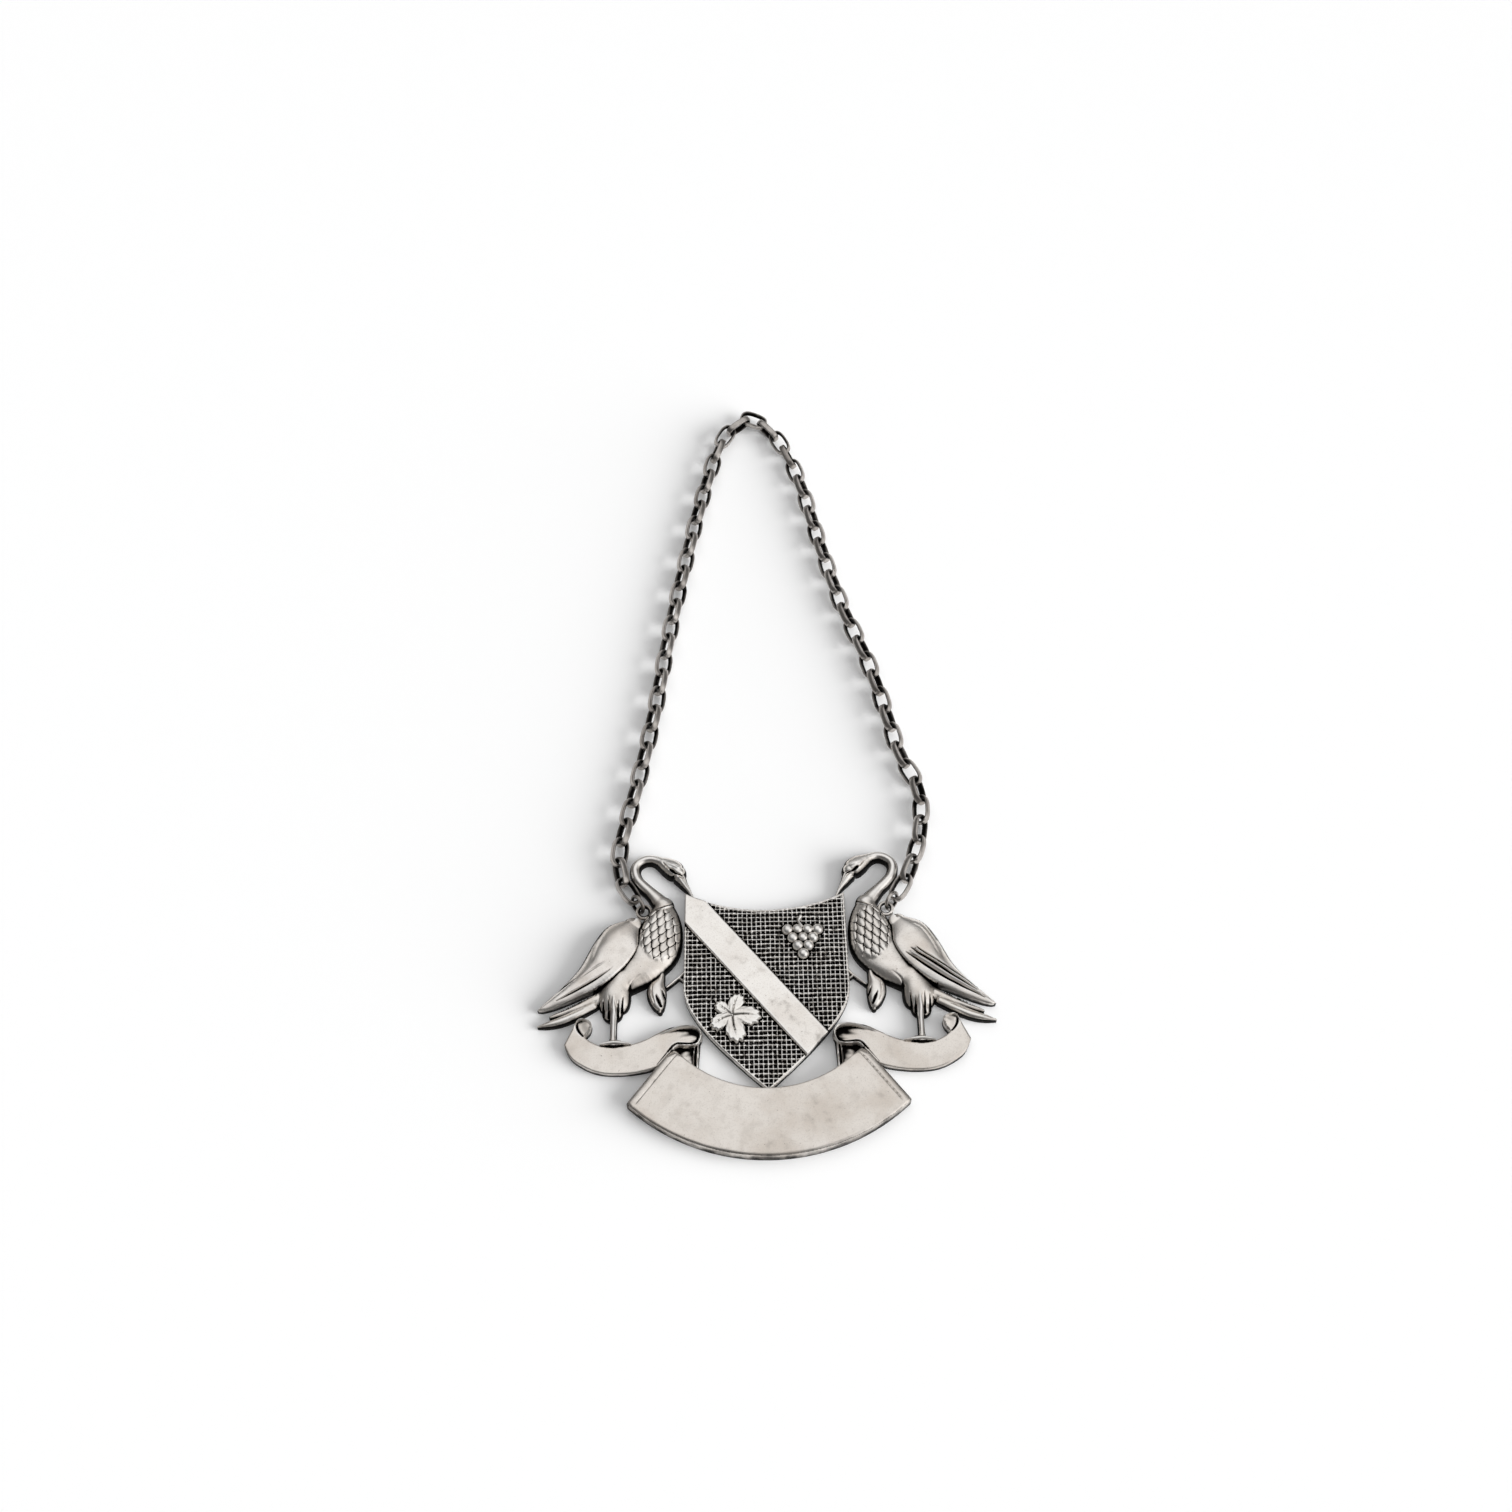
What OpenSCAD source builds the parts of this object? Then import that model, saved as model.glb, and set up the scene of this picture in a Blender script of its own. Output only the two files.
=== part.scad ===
/* [Shield] */
// Width of the shield across its straight sides
shield_w = 22.4; // [20:0.2:26]
// Height of the shield from its top corners to its tip
shield_h = 28.4; // [25:0.2:32]
// Thickness of the shield plate
shield_t = 1.4; // [1:0.1:2]
// How far the top edge dips between the corners
shield_dip = 2.5; // [1:0.1:4]
// Length of the straight part of each side
shield_side = 13.4; // [10:0.2:15]
// Width of the smooth band across the shield
band_w = 4.4; // [3:0.1:6]
// How far the band stands above the plate
band_rise = 0.35; // [0.2:0.05:0.8]
// Slope of the band from the level
band_tilt = 50; // [40:1:60]
// Radius of the vine leaf below the band
leaf_r = 3.4; // [2:0.1:4]
// How far the leaf stands above the plate
leaf_rise = 0.5; // [0.2:0.05:0.8]
// Radius of each grape in the bunch above the band
grape_r = 0.8; // [0.5:0.05:0.9]
// Rows of grapes in the bunch
grape_rows = 4; // [3:1:5]

/* [Title banner] */
// Radius of the banner's upper edge
banner_r = 16.5; // [15:0.1:19]
// Half angle that the upper edge covers
banner_half_angle = 49.5; // [44:0.5:54]
// Height of the banner in the middle, between its two curved edges
banner_h = 9; // [7:0.2:12]
// Radius of the banner's lower edge
banner_foot_r = 27.4; // [25:0.2:31]
// Half angle that the lower edge covers
banner_foot_angle = 42.5; // [39:0.5:46]
// Thickness of the banner
banner_t = 2.2; // [1.6:0.1:3]
// Width of the bevel along the banner's lower and side edges
banner_bevel = 0.6; // [0.4:0.1:1.4]
// Depth of that bevel
bevel_drop = 0.5; // [0.3:0.1:1.2]
// How far the shield's tip reaches in behind the banner
tip_lap = 0.15; // [0.1:0.05:1]

/* [Tail scrolls] */
// Thickness of each tail scroll
scroll_t = 1.3; // [0.9:0.1:1.8]
// Height of the folded lip above the scroll
lip_rise = 0.7; // [0.4:0.1:1]
// Wall of the folded lip
lip_wall = 0.45; // [0.3:0.05:0.6]
// Thickness of the layer that runs back behind the banner
under_t = 0.6; // [0.4:0.1:1]
// Outer radius of the rolled end
curl_r = 0.85; // [0.6:0.05:1.1]
// Bore of the rolled end
curl_bore = 0.8; // [0.5:0.1:1]
// Length of the rolled end
curl_l = 2.4; // [1.6:0.1:3]

/* [Swans] */
// Half width of the neck at the side of its loop
neck_half_w = 0.72; // [0.6:0.02:0.8]
// Height of the neck above the flat back
neck_rise = 1.6; // [1.2:0.1:2]
// Height of the head
head_rise = 2.1; // [1.6:0.1:2.6]
// Half width of the body at the breast
breast_half_w = 3.45; // [3:0.05:3.6]
// Height of the body
body_rise = 2.5; // [2:0.1:3]
// Half width of the wing
wing_half_w = 3; // [2.4:0.1:3.2]
// Height of the wing
wing_rise = 2.9; // [2.3:0.1:3.4]
// Long feathers on each wing
feathers = 4; // [3:1:5]
// Half width of the standing leg
leg_half_w = 0.4; // [0.34:0.02:0.6]
// Half width of the bar that ties the raised foot to the shield
tie_half_w = 0.36; // [0.3:0.02:0.6]

/* [Eyelets and jump rings] */
// Wire diameter of each eyelet
eyelet_wire = 0.55; // [0.5:0.05:0.7]
// Hole of each eyelet
eyelet_hole = 1.2; // [1.1:0.05:1.4]
// Wire diameter of each jump ring
ring_wire = 0.42; // [0.36:0.02:0.46]
// Inside diameter of each jump ring
ring_bore = 2.0; // [1.9:0.05:2.4]
// Play of each jump ring in its eyelet and first link
ring_play = 0.24; // [0.16:0.02:0.3]

/* [Chain] */
// Links on each side of the loop, up to the single link at its top
side_links = 28; // [20:1:28]
// Inside length of a link
link_inner_l = 3.5; // [3.4:0.02:3.8]
// Inside width of a link
link_inner_w = 1.6; // [1.54:0.02:1.7]
// Thickness of the link's flattened wire
link_wire_t = 0.46; // [0.38:0.02:0.48]
// Width of the link's flattened wire
link_wire_w = 0.76; // [0.6:0.02:0.8]
// Play left between neighbouring links
link_play = 0.3; // [0.24:0.02:0.34]
// Height at which the middle of the chain lies
chain_z = 1.3; // [1.25:0.05:2]
// Room between the chain and the swans' necks
chain_clear = 0.2; // [0.1:0.05:1]

/* [Hidden] */
$fn = 48;
smooth = 180;
cut = 1;
side_names = ["left", "right"];
function row_name(k) = str("links_row_", k < 10 ? "0" : "", k);

silver = "#c9c4bd";
worn_silver = "#a9a49d";
steps = 5;
dome_points = 5;
rim_share = 0.22;

// Curves through a few points
function mix(a, b, t) = a + (b - a) * t;
function through(a, b, c, d, t) = 0.5 * (2 * b + (c - a) * t
    + (2 * a - 5 * b + 4 * c - d) * t * t + (3 * b - a - 3 * c + d) * t * t * t);
function spline(p, n) = let (last = len(p) - 1) concat(
    [for (i = [0 : last - 1], j = [0 : n - 1])
        through(p[max(i - 1, 0)], p[i], p[i + 1], p[min(i + 2, last)], j / n)],
    [p[last]]
);
function bezier(a, b, c, d, n) = [for (j = [0 : n]) let (t = j / n, u = 1 - t)
    u * u * u * a + 3 * u * u * t * b + 3 * u * t * t * c + t * t * t * d];
function arc(r, a0, a1, n) = [for (j = [0 : n]) r * below(mix(a0, a1, j / n))];
function below(a) = [sin(a), -cos(a)];
function flip(p) = [for (i = [len(p) - 1 : -1 : 0]) p[i]];
function mirrored(p) = [for (q = p) [-q.x, q.y]];
function flat(v) = [v.x, v.y];
function unit(v) = v / norm(v);
function right_of(v) = [v.y, -v.x];

// Main points of the label, with the shield's middle at the origin
corner_inset = 0.2;
corner = [shield_w / 2 - corner_inset, shield_h / 2];
side_foot = [shield_w / 2, shield_h / 2 - shield_side];
tip = [0, -shield_h / 2];
banner_y = tip.y + tip_lap + banner_r;
banner_foot_y = banner_foot_r - banner_r - banner_h;
banner_top = banner_r * below(banner_half_angle);
banner_foot = [0, banner_foot_y] + banner_foot_r * below(banner_foot_angle);
banner_end = [0, banner_y] + banner_top;

// A low relief form with a flat back: each station is x, y, half width, height
function section(w, h) = let (rim = h * rim_share) concat(
    [[-w, 0], [-w, rim]],
    [for (j = [1 : dome_points]) let (a = 180 * j / (dome_points + 1))
        [-w * cos(a), rim + (h - rim) * sin(a)]],
    [[w, rim], [w, 0]]
);
module relief(stations, n = steps) {
    path = spline(stations, n);
    last = len(path) - 1;
    size = dome_points + 4;
    points = [for (i = [0 : last])
        let (
            s = path[i],
            ahead = flat(path[min(i + 1, last)]) - flat(path[max(i - 1, 0)]),
            side = right_of(unit(ahead))
        )
        for (q = section(s[2], s[3])) [s.x + side.x * q.x, s.y + side.y * q.x, q.y]];
    walls = [for (i = [0 : last - 1], j = [0 : size - 1])
        let (a = i * size + j, b = i * size + (j + 1) % size)
        each [[a, a + size, b + size], [a, b + size, b]]];
    first_cap = [for (j = [0 : size - 1]) j];
    last_cap = [for (j = [size - 1 : -1 : 0]) last * size + j];
    polyhedron(points, concat([first_cap], walls, [last_cap]));
}

module both_sides(side) {
    if (side == "right") children();
    else mirror([1, 0, 0]) children();
}

// Shield, whose tip stands on the banner's upper edge
flank_pull = [0, -5];
tip_pull = [5.5, 5];
edge_steps = 18;
function shield_edge() = let (
    lower = bezier(side_foot, side_foot + flank_pull, tip + tip_pull, tip, edge_steps),
    top_r = (corner.x * corner.x + shield_dip * shield_dip) / (2 * shield_dip),
    top_a = asin(corner.x / top_r),
    top = [for (q = arc(top_r, -top_a, top_a, edge_steps)) q + [0, corner.y - shield_dip + top_r]]
) concat(top, lower, flip(mirrored([for (i = [0 : len(lower) - 2]) lower[i]])));

module shield_plan() {
    difference() {
        polygon(shield_edge());
        translate([0, banner_y]) banner_plan();
    }
}

module band() {
    linear_extrude(shield_t + band_rise) intersection() {
        shield_plan();
        rotate(-band_tilt) square([3 * shield_h, band_w], center = true);
    }
}

// A five-lobed vine leaf
leaf_at = [-4.9, -3.6];
leaf_turn = -40;
lobes = 5;
lobe_depth = 0.5;
leaf_taper = 0.25;
function leaf_edge() = [for (a = [0 : 6 : 354])
    let (
        lobe = pow(abs(cos(lobes * a / 2)), 0.8),
        r = leaf_r * (1 - lobe_depth + lobe_depth * lobe) * (1 - leaf_taper * cos(a))
    )
    [-r * cos(a), r * sin(a)]];

module leaf() {
    translate(leaf_at) rotate(leaf_turn) linear_extrude(shield_t + leaf_rise) polygon(leaf_edge());
}

// A hanging bunch, each row of grapes one shorter than the row above
grapes_at = [5.1, 8.6];
grape_lap = 0.24;
module grapes() {
    pitch = 2 * grape_r - grape_lap;
    row_drop = pitch * sin(60);
    for (r = [0 : grape_rows - 1], c = [0 : grape_rows - 1 - r])
        translate([grapes_at.x, grapes_at.y, shield_t])
            translate([(c - (grape_rows - 1 - r) / 2) * pitch, -r * row_drop, 0]) sphere(grape_r);
}

module shield() {
    color(silver) union() {
        linear_extrude(shield_t) shield_plan();
        band();
        leaf();
        intersection() {
            grapes();
            translate([0, 0, shield_t / 2]) linear_extrude(shield_t / 2 + grape_r) shield_plan();
        }
    }
}

// Title banner
module banner_plan() {
    below_foot = [banner_foot_r, -2 * banner_foot_r];
    side = [banner_top, banner_foot, below_foot];
    intersection() {
        translate([0, banner_foot_y]) circle(banner_foot_r, $fn = smooth);
        difference() {
            polygon(concat([[0, 0]], side, flip(mirrored(side))));
            circle(banner_r, $fn = smooth);
        }
    }
}

module bevel_section() {
    polygon([
        [-banner_bevel, banner_t],
        [0, banner_t - bevel_drop],
        [cut, banner_t - bevel_drop],
        [cut, banner_t + cut],
        [-banner_bevel, banner_t + cut]
    ]);
}

module side_bevel() {
    run = banner_foot - banner_top;
    translate([banner_top.x, banner_top.y, 0]) rotate([0, 0, atan2(run.y, run.x)]) rotate([90, 0, 90])
        translate([0, 0, -norm(run)]) linear_extrude(3 * norm(run)) bevel_section();
}

module title_banner() {
    color(silver) translate([0, banner_y, 0]) difference() {
        linear_extrude(banner_t) banner_plan();
        translate([0, banner_foot_y, 0]) rotate_extrude($fn = smooth) translate([banner_foot_r, 0])
            bevel_section();
        for (side = side_names) both_sides(side) side_bevel();
    }
}

// Tail scrolls, drawn from the banner's upper end
scroll_upper = [
    [-3.85, 1.75], [-3.4, 2.8], [-2.3, 3.15], [0.3, 3.05], [4.1, 1.2],
    [8.2, 0.42], [10.8, 1.15], [12.1, 2.3], [13, 3.75]
];
scroll_lower = [
    [14.4, 0.8], [13.2, -1.25], [10.1, -2.95], [6.3, -3.25], [2.3, -2.5],
    [0.4, -0.6], [-0.6, 0.25], [-2.4, 0.35], [-3.4, 0.7]
];
scroll_steps = 6;
under_layer = [[-3.65, 1.2], [-3.3, -3.4], [0, -3.4], [0.8, 0]];
curl_at = [11.95, 3];
curl_heading = 105;
pocket_at = [-2.25, 1.8];
pocket_tilt = 4;
pocket_l = 1.5;
pocket_w = 1.2;

module scroll_plan() {
    polygon(concat(spline(scroll_upper, scroll_steps), spline(scroll_lower, scroll_steps)));
}

module rounded_bar(length, half_w) {
    square([length, 2 * half_w], center = true);
    for (end = [-0.5, 0.5]) translate([end * length, 0]) circle(half_w);
}

module at_fold(z) {
    translate([pocket_at.x, pocket_at.y, z]) rotate(pocket_tilt) children();
}

module at_curl() {
    translate([curl_at.x, curl_at.y, curl_r]) rotate([0, 90, curl_heading]) children();
}

module tail_scroll(side) {
    color(silver) both_sides(side) difference() {
        translate([banner_end.x, banner_end.y, 0]) difference() {
            union() {
                linear_extrude(scroll_t) scroll_plan();
                linear_extrude(under_t) polygon(under_layer);
                at_fold(0) linear_extrude(scroll_t + lip_rise)
                    rounded_bar(pocket_l, pocket_w / 2 + lip_wall);
                at_curl() cylinder(h = curl_l, r = curl_r, center = true);
            }
            at_fold(under_t) linear_extrude(scroll_t + lip_rise) rounded_bar(pocket_l, pocket_w / 2);
            at_curl() cylinder(h = 2 * curl_l, d = curl_bore, center = true);
        }
        translate([0, 0, -cut]) linear_extrude(banner_t + 2 * cut) {
            translate([0, banner_y]) banner_plan();
            shield_plan();
        }
    }
}

// Swans, drawn from the shield's upper corner
neck_loop = [7.1, 4.2];
neck = [
    [3.1, -1.6, 1.3, 2.0], [4.75, 0.6, 0.97, 1.75], [6.4, 2.5, 0.8, neck_rise],
    [neck_loop.x, neck_loop.y, neck_half_w, neck_rise], [6.7, 5.65, 0.7, neck_rise],
    [5.2, 6.05, 0.66, neck_rise], [3.7, 5.6, 0.66, 1.7], [2.55, 4.95, 1.1, 2.0],
    [1.75, 4.2, 1.32, head_rise], [1.05, 3.4, 1.17, head_rise], [0.5, 2.6, 0.75, 1.7],
    [-0.05, 1.4, 0.42, 1.4], [-0.6, 0.3, 0.26, 1.2], [-1.1, -0.8, 0.22, 1.1]
];
body = [
    [2.9, -1.6, 1.3, 2.0], [3.05, -3.2, 2.25, 2.3], [3.4, -5.3, 3, 2.45],
    [4.2, -7.9, breast_half_w, body_rise], [5.9, -10.5, breast_half_w - 0.65, body_rise],
    [8.2, -12.65, 2.05, 2.3], [10.3, -14.5, 1.4, 1.9], [12.2, -15.9, 1, 1.4]
];
wing = [
    [7.4, -3.9, 0.9, 2.0], [9.3, -6.5, wing_half_w - 0.25, wing_rise],
    [10.8, -9.15, wing_half_w, wing_rise], [12.85, -11.6, 2.4, 2.6],
    [15.1, -13.8, 1.6, 2.1], [17.5, -15.4, 0.85, 1.6], [19.3, -16.35, 0.3, 1.1]
];
tail = [
    [11.2, -15, 1, 1.4], [14.4, -16.75, 1.12, 1.4], [16.6, -17.75, 0.95, 1.3],
    [18.2, -18.35, 0.7, 1.1], [19.5, -18.65, 0.32, 0.8]
];
raised_foot = [
    [3.3, -11.2, 0.5, 1.3], [3.1, -12.1, 0.7, 1.4], [3.4, -13.55, 1.15, 1.6],
    [3.55, -15.4, 1.2, 1.5], [3.3, -16.6, 0.6, 1.2], [3.2, -17.0, 0.3, 1.0]
];

// The bar that ties the raised foot to the shield's side
tie_rise = 1.0;
tie_lap = 0.35;
tie_end = [shield_w / 2 - corner.x - tie_lap, -11.4];
tie = [for (q = [[3.2, -13.9], [1.5, -12.5], tie_end]) concat(q, [tie_half_w, tie_rise])];

// The standing leg, down to its foot on the scroll's upper edge
leg_x = 9.7;
leg_rise = 1.2;
foot_half_l = 2.0;
foot_half_w = 0.5;
foot_rise = 1.5;
foot_lap = 0.3;
scroll_edge = [for (q = spline(scroll_upper, scroll_steps)) [q.x, q.y]];
foot_y = banner_end.y - corner.y + lookup(corner.x + leg_x - banner_end.x, scroll_edge)
    + foot_half_w - foot_lap;
leg = [
    [8.8, -12.6, 1.4, 2.3], [9.2, -13.8, 1.8, 2.3], [9.6, -15.4, 2, 2.1],
    [9.8, -16.7, 1.85, 1.8], [leg_x, -17.6, 0.8, 1.4],
    [leg_x, -18.4, leg_half_w, leg_rise], [leg_x, foot_y, leg_half_w, leg_rise]
];
foot = [for (f = [-1, -0.5, 0, 0.5, 1])
    [leg_x + f * foot_half_l, foot_y, foot_half_w * (1.15 - f * f), foot_rise - 0.6 * f * f]];

// Long feathers, fanned from the wing's lower edge (t = 0) to its upper edge (t = 1)
function feather(t) = [
    concat(mix([9.3, -10.3], [12.3, -9.3], t), [0.3, mix(1.9, 2.7, t)]),
    concat(mix([11.8, -12.4], [13.9, -11.5], t), [0.55, mix(2.2, 2.8, t)]),
    concat(mix([15.4, -14.7], [16.3, -13.8], t), [0.45, mix(1.9, 2.2, t)]),
    concat(mix([18.8, -16.5], [18.2, -15.5], t), [0.15, 1.2])
];

module swan(side) {
    color(silver) both_sides(side) difference() {
        translate([corner.x, corner.y, 0]) union() {
            relief(body);
            relief(neck);
            relief(wing);
            for (i = [0 : feathers - 1]) relief(feather(i / (feathers - 1)), 3);
            relief(tail);
            relief(leg);
            relief(foot, 3);
            relief(raised_foot);
            relief(tie, 2);
        }
        translate([0, 0, -cut]) linear_extrude(shield_t + cut) shield_plan();
        translate([banner_end.x, banner_end.y, -cut]) linear_extrude(scroll_t + cut) scroll_plan();
    }
}

// Eyelets at the swans' backs and the jump rings through them
eyelet_at = corner + [5.65, -2.6];
eyelet_r = (eyelet_hole + eyelet_wire) / 2;
ring_r = (ring_bore + ring_wire) / 2;
ring_pitch = ring_bore - ring_play;

module hoop(r, wire) {
    rotate_extrude() translate([r, 0]) circle(d = wire);
}

module eyelet(side) {
    color(silver) both_sides(side) translate([eyelet_at.x, eyelet_at.y, chain_z])
        hoop(eyelet_r, eyelet_wire);
}

// Chain route: sideways from the line that clears the necks, and up from the eyelets
link_outer_w = link_inner_w + 2 * link_wire_t;
link_pitch = link_inner_l - link_play;
pass_x = corner.x + neck_loop.x + neck_half_w + chain_clear + link_outer_w / 2;
left_route = [
    [-1.5, 3], [0, 6.2], [-0.3, 11], [-1.9, 18], [-4.5, 31],
    [-6.6, 45], [-8.9, 58], [-11.6, 71], [-14.3, 81.5], [-16.4, 85.6]
];
right_route = [
    [-1.4, 3], [0, 6], [1.3, 9.4], [2.3, 15], [1.8, 20], [-0.2, 24.2], [-1.7, 31],
    [-4.2, 41], [-7.6, 51], [-10.6, 63], [-13.3, 75], [-16, 82.4], [-18.2, 85.6]
];
loop_top = [-0.7, 88];
function route(k) = concat(
    [[-eyelet_at.x, eyelet_at.y]],
    [for (q = left_route) [-pass_x - q.x, eyelet_at.y + k * q.y]],
    [[loop_top.x, eyelet_at.y + k * loop_top.y]],
    [for (q = flip(right_route)) [pass_x + q.x, eyelet_at.y + k * q.y]],
    [eyelet_at]
);
function lengths(p, i = 0, sum = 0) =
    i == len(p) - 1 ? [sum] : concat([sum], lengths(p, i + 1, sum + norm(p[i + 1] - p[i])));
function last_of(v) = v[len(v) - 1];

// The route is stretched until it is as long as the rings and links in it
route_steps = 8;
chain_start = eyelet_hole / 2 + ring_pitch;
chain_l = 2 * chain_start + (2 * side_links + 1) * link_pitch;
function fitted(k, n) =
    n == 0 ? k : fitted(k * chain_l / last_of(lengths(spline(route(k), route_steps))), n - 1);
lie = spline(route(fitted(1, 8)), route_steps);
lie_s = lengths(lie);
lie_x = [for (i = [0 : len(lie) - 1]) [lie_s[i], lie[i].x]];
lie_y = [for (i = [0 : len(lie) - 1]) [lie_s[i], lie[i].y]];
function along(side, s) =
    let (t = side == "left" ? s : chain_l - s) [lookup(t, lie_x), lookup(t, lie_y)];

// Each link is rolled a quarter turn from the last. The jump ring stands up in its eyelet, the run
// lies on its edges, and the chain twists until its top link lies flat.
quarter = 45;
ring_twist = -26;
run_twist = -7;
ring_turns = 3;
top_turns = 7;
function twist(k) =
    let (from_ring = max(0, 1 - k / ring_turns),
        to_top = max(0, k - 1 - side_links + top_turns) / top_turns)
    mix(mix(run_twist, ring_twist, from_ring), -quarter, to_top * to_top);
function lies_open(k) = k % 2 == 1;
function roll(k) = (lies_open(k) ? quarter : -quarter) + twist(k);
function contact_s(k) = chain_start + (k - 1) * link_pitch;
function lean(k) = link_inner_w / 2 * sin(2 * twist(k)) * (lies_open(k) ? 1 : -1);
function bend_point(side, k) = along(side, contact_s(k) - lean(k));
function link_middle(side, k) = mix(bend_point(side, k), bend_point(side, k + 1),
    (link_pitch / 2 + lean(k)) / (link_pitch + lean(k) - lean(k + 1)));

module on_route(a, b, middle, roll) {
    run = b - a;
    translate([middle.x, middle.y, chain_z]) rotate([0, 0, atan2(run.y, run.x)])
        rotate([roll, 0, 0]) children();
}
function side_roll(side, k) = side == "left" ? roll(k) : -roll(k);

module jump_ring(side) {
    a = along(side, eyelet_hole / 2);
    b = along(side, chain_start);
    color(worn_silver) on_route(a, b, (a + b) / 2, side_roll(side, 0)) hoop(ring_r, ring_wire);
}

module wire_section() {
    round_at = (link_wire_w - link_wire_t) / 2;
    square([link_wire_t, 2 * round_at], center = true);
    for (end = [-1, 1]) translate([0, end * round_at]) circle(d = link_wire_t);
}

module link() {
    bend_r = (link_inner_w + link_wire_t) / 2;
    straight = link_inner_l - link_inner_w;
    for (end = [0, 180]) rotate([0, 0, end]) {
        translate([straight / 2, 0, 0]) rotate([0, 0, -90]) rotate_extrude(angle = 180)
            translate([bend_r, 0]) wire_section();
        translate([-straight / 2, bend_r, 0]) rotate([90, 0, 90])
            linear_extrude(straight) wire_section();
    }
}

module links_row(k) {
    color(worn_silver) for (side = side_names)
        on_route(bend_point(side, k), bend_point(side, k + 1), link_middle(side, k), side_roll(side, k))
            link();
}

module top_link() {
    a = bend_point("left", side_links + 1);
    b = bend_point("right", side_links + 1);
    color(worn_silver) on_route(a, b, (a + b) / 2, roll(side_links + 1)) link();
}

shield();
title_banner();
for (side = side_names) {
    tail_scroll(side);
    swan(side);
    eyelet(side);
    jump_ring(side);
}
for (k = [1 : side_links]) {
    links_row(k);
}
top_link();
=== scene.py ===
import bpy
import math
import numpy as np
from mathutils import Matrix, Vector
from mathutils.geometry import tessellate_polygon


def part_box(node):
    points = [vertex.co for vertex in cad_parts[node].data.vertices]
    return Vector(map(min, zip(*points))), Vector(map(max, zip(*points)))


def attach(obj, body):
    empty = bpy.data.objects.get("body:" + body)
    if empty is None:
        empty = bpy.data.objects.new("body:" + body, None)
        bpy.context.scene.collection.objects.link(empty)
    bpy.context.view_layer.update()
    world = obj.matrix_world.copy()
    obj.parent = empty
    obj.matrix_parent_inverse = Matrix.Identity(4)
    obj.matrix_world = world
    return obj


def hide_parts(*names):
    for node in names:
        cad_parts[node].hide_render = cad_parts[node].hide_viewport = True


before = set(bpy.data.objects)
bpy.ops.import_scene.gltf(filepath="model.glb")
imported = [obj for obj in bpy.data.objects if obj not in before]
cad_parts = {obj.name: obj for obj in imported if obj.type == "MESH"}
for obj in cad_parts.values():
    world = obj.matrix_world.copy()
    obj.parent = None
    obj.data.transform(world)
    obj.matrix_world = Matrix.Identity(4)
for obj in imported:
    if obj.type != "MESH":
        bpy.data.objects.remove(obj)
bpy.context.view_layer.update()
mm = 0.001
print("frame loaded:", len(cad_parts), "nodes")


# curves and low relief, all in millimetres

overlap = 0.03  # heights go on this far past an outline, so that its edge keeps them


def smoothLine(points, steps=6):
    p = np.array(points, float)
    q = np.vstack([p[:1], p, p[-1:]])
    t = (np.arange(steps) / steps)[:, None]
    runs = []
    for a, b, c, d in zip(q[:-3], q[1:-2], q[2:-1], q[3:]):
        runs.append(0.5 * (2 * b + (c - a) * t + (2 * a - 5 * b + 4 * c - d) * t ** 2
                           + (3 * b - a - 3 * c + d) * t ** 3))
    return np.vstack(runs + [p[-1:]])


def bezierLine(a, b, c, d, steps=24):
    t = np.linspace(0, 1, steps + 1)[:, None]
    a, b, c, d = (np.array(q, float) for q in (a, b, c, d))
    return (1 - t) ** 3 * a + 3 * (1 - t) ** 2 * t * b + 3 * (1 - t) * t ** 2 * c + t ** 3 * d


def ramp(value, low, high):
    t = np.clip((value - low) / (high - low), 0, 1)
    return t * t * (3 - 2 * t)


def nearestOn(x, y, line):  # distance, place along the line and side of it
    best = np.full(x.shape, 1e9)
    place = np.zeros(x.shape)
    side = np.zeros(x.shape)
    for i in range(len(line) - 1):
        ax, ay = line[i, :2]
        bx, by = line[i + 1, :2] - line[i, :2]
        t = np.clip(((x - ax) * bx + (y - ay) * by) / (bx * bx + by * by + 1e-12), 0, 1)
        dx, dy = x - ax - t * bx, y - ay - t * by
        d = dx * dx + dy * dy
        near = d < best
        best[near] = d[near]
        place[near] = (i + t)[near]
        side[near] = (bx * dy - by * dx)[near]
    return np.sqrt(best), place, np.sign(side)


def around(x, y, line, reach):
    return ((x > line[:, 0].min() - reach) & (x < line[:, 0].max() + reach)
            & (y > line[:, 1].min() - reach) & (y < line[:, 1].max() + reach))


def form(x, y, stations, rim, crown=0.5):
    # a domed stroke; stations are x, y, half width, height; gives height and depth inside the outline
    line = smoothLine(stations)
    near = around(x, y, line, line[:, 2].max() + 0.6)
    z = np.full(x.shape, -1.0)
    edge = np.full(x.shape, -9.0)
    d, place, side = nearestOn(x[near], y[near], line)
    spots = np.arange(len(line))
    width = np.interp(place, spots, line[:, 2])
    rise = np.interp(place, spots, line[:, 3])
    rims = np.where(side > 0, rim[0], rim[1])
    dome = np.maximum(0, 1 - (d / width) ** 2) ** crown
    z[near] = np.where(d < width + overlap, rise * (rims + (1 - rims) * dome), -1.0)
    edge[near] = width - d
    return z, edge


def groove(x, y, stations):  # stations are x, y, half width, depth
    line = smoothLine(stations)
    near = around(x, y, line, line[:, 2].max())
    cut = np.zeros(x.shape)
    d, place, _ = nearestOn(x[near], y[near], line)
    spots = np.arange(len(line))
    u = np.clip(d / np.interp(place, spots, line[:, 2]), 0, 1)
    cut[near] = np.interp(place, spots, line[:, 3]) * (1 - u * u) ** 2
    return cut


def merged(a, b, soft):
    top = np.maximum(a, b)
    if soft:
        near = np.maximum(0, soft - np.abs(a - b))
        top = top + np.where((a > 0) & (b > 0), near * near / (4 * soft), 0)
    return top


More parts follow.
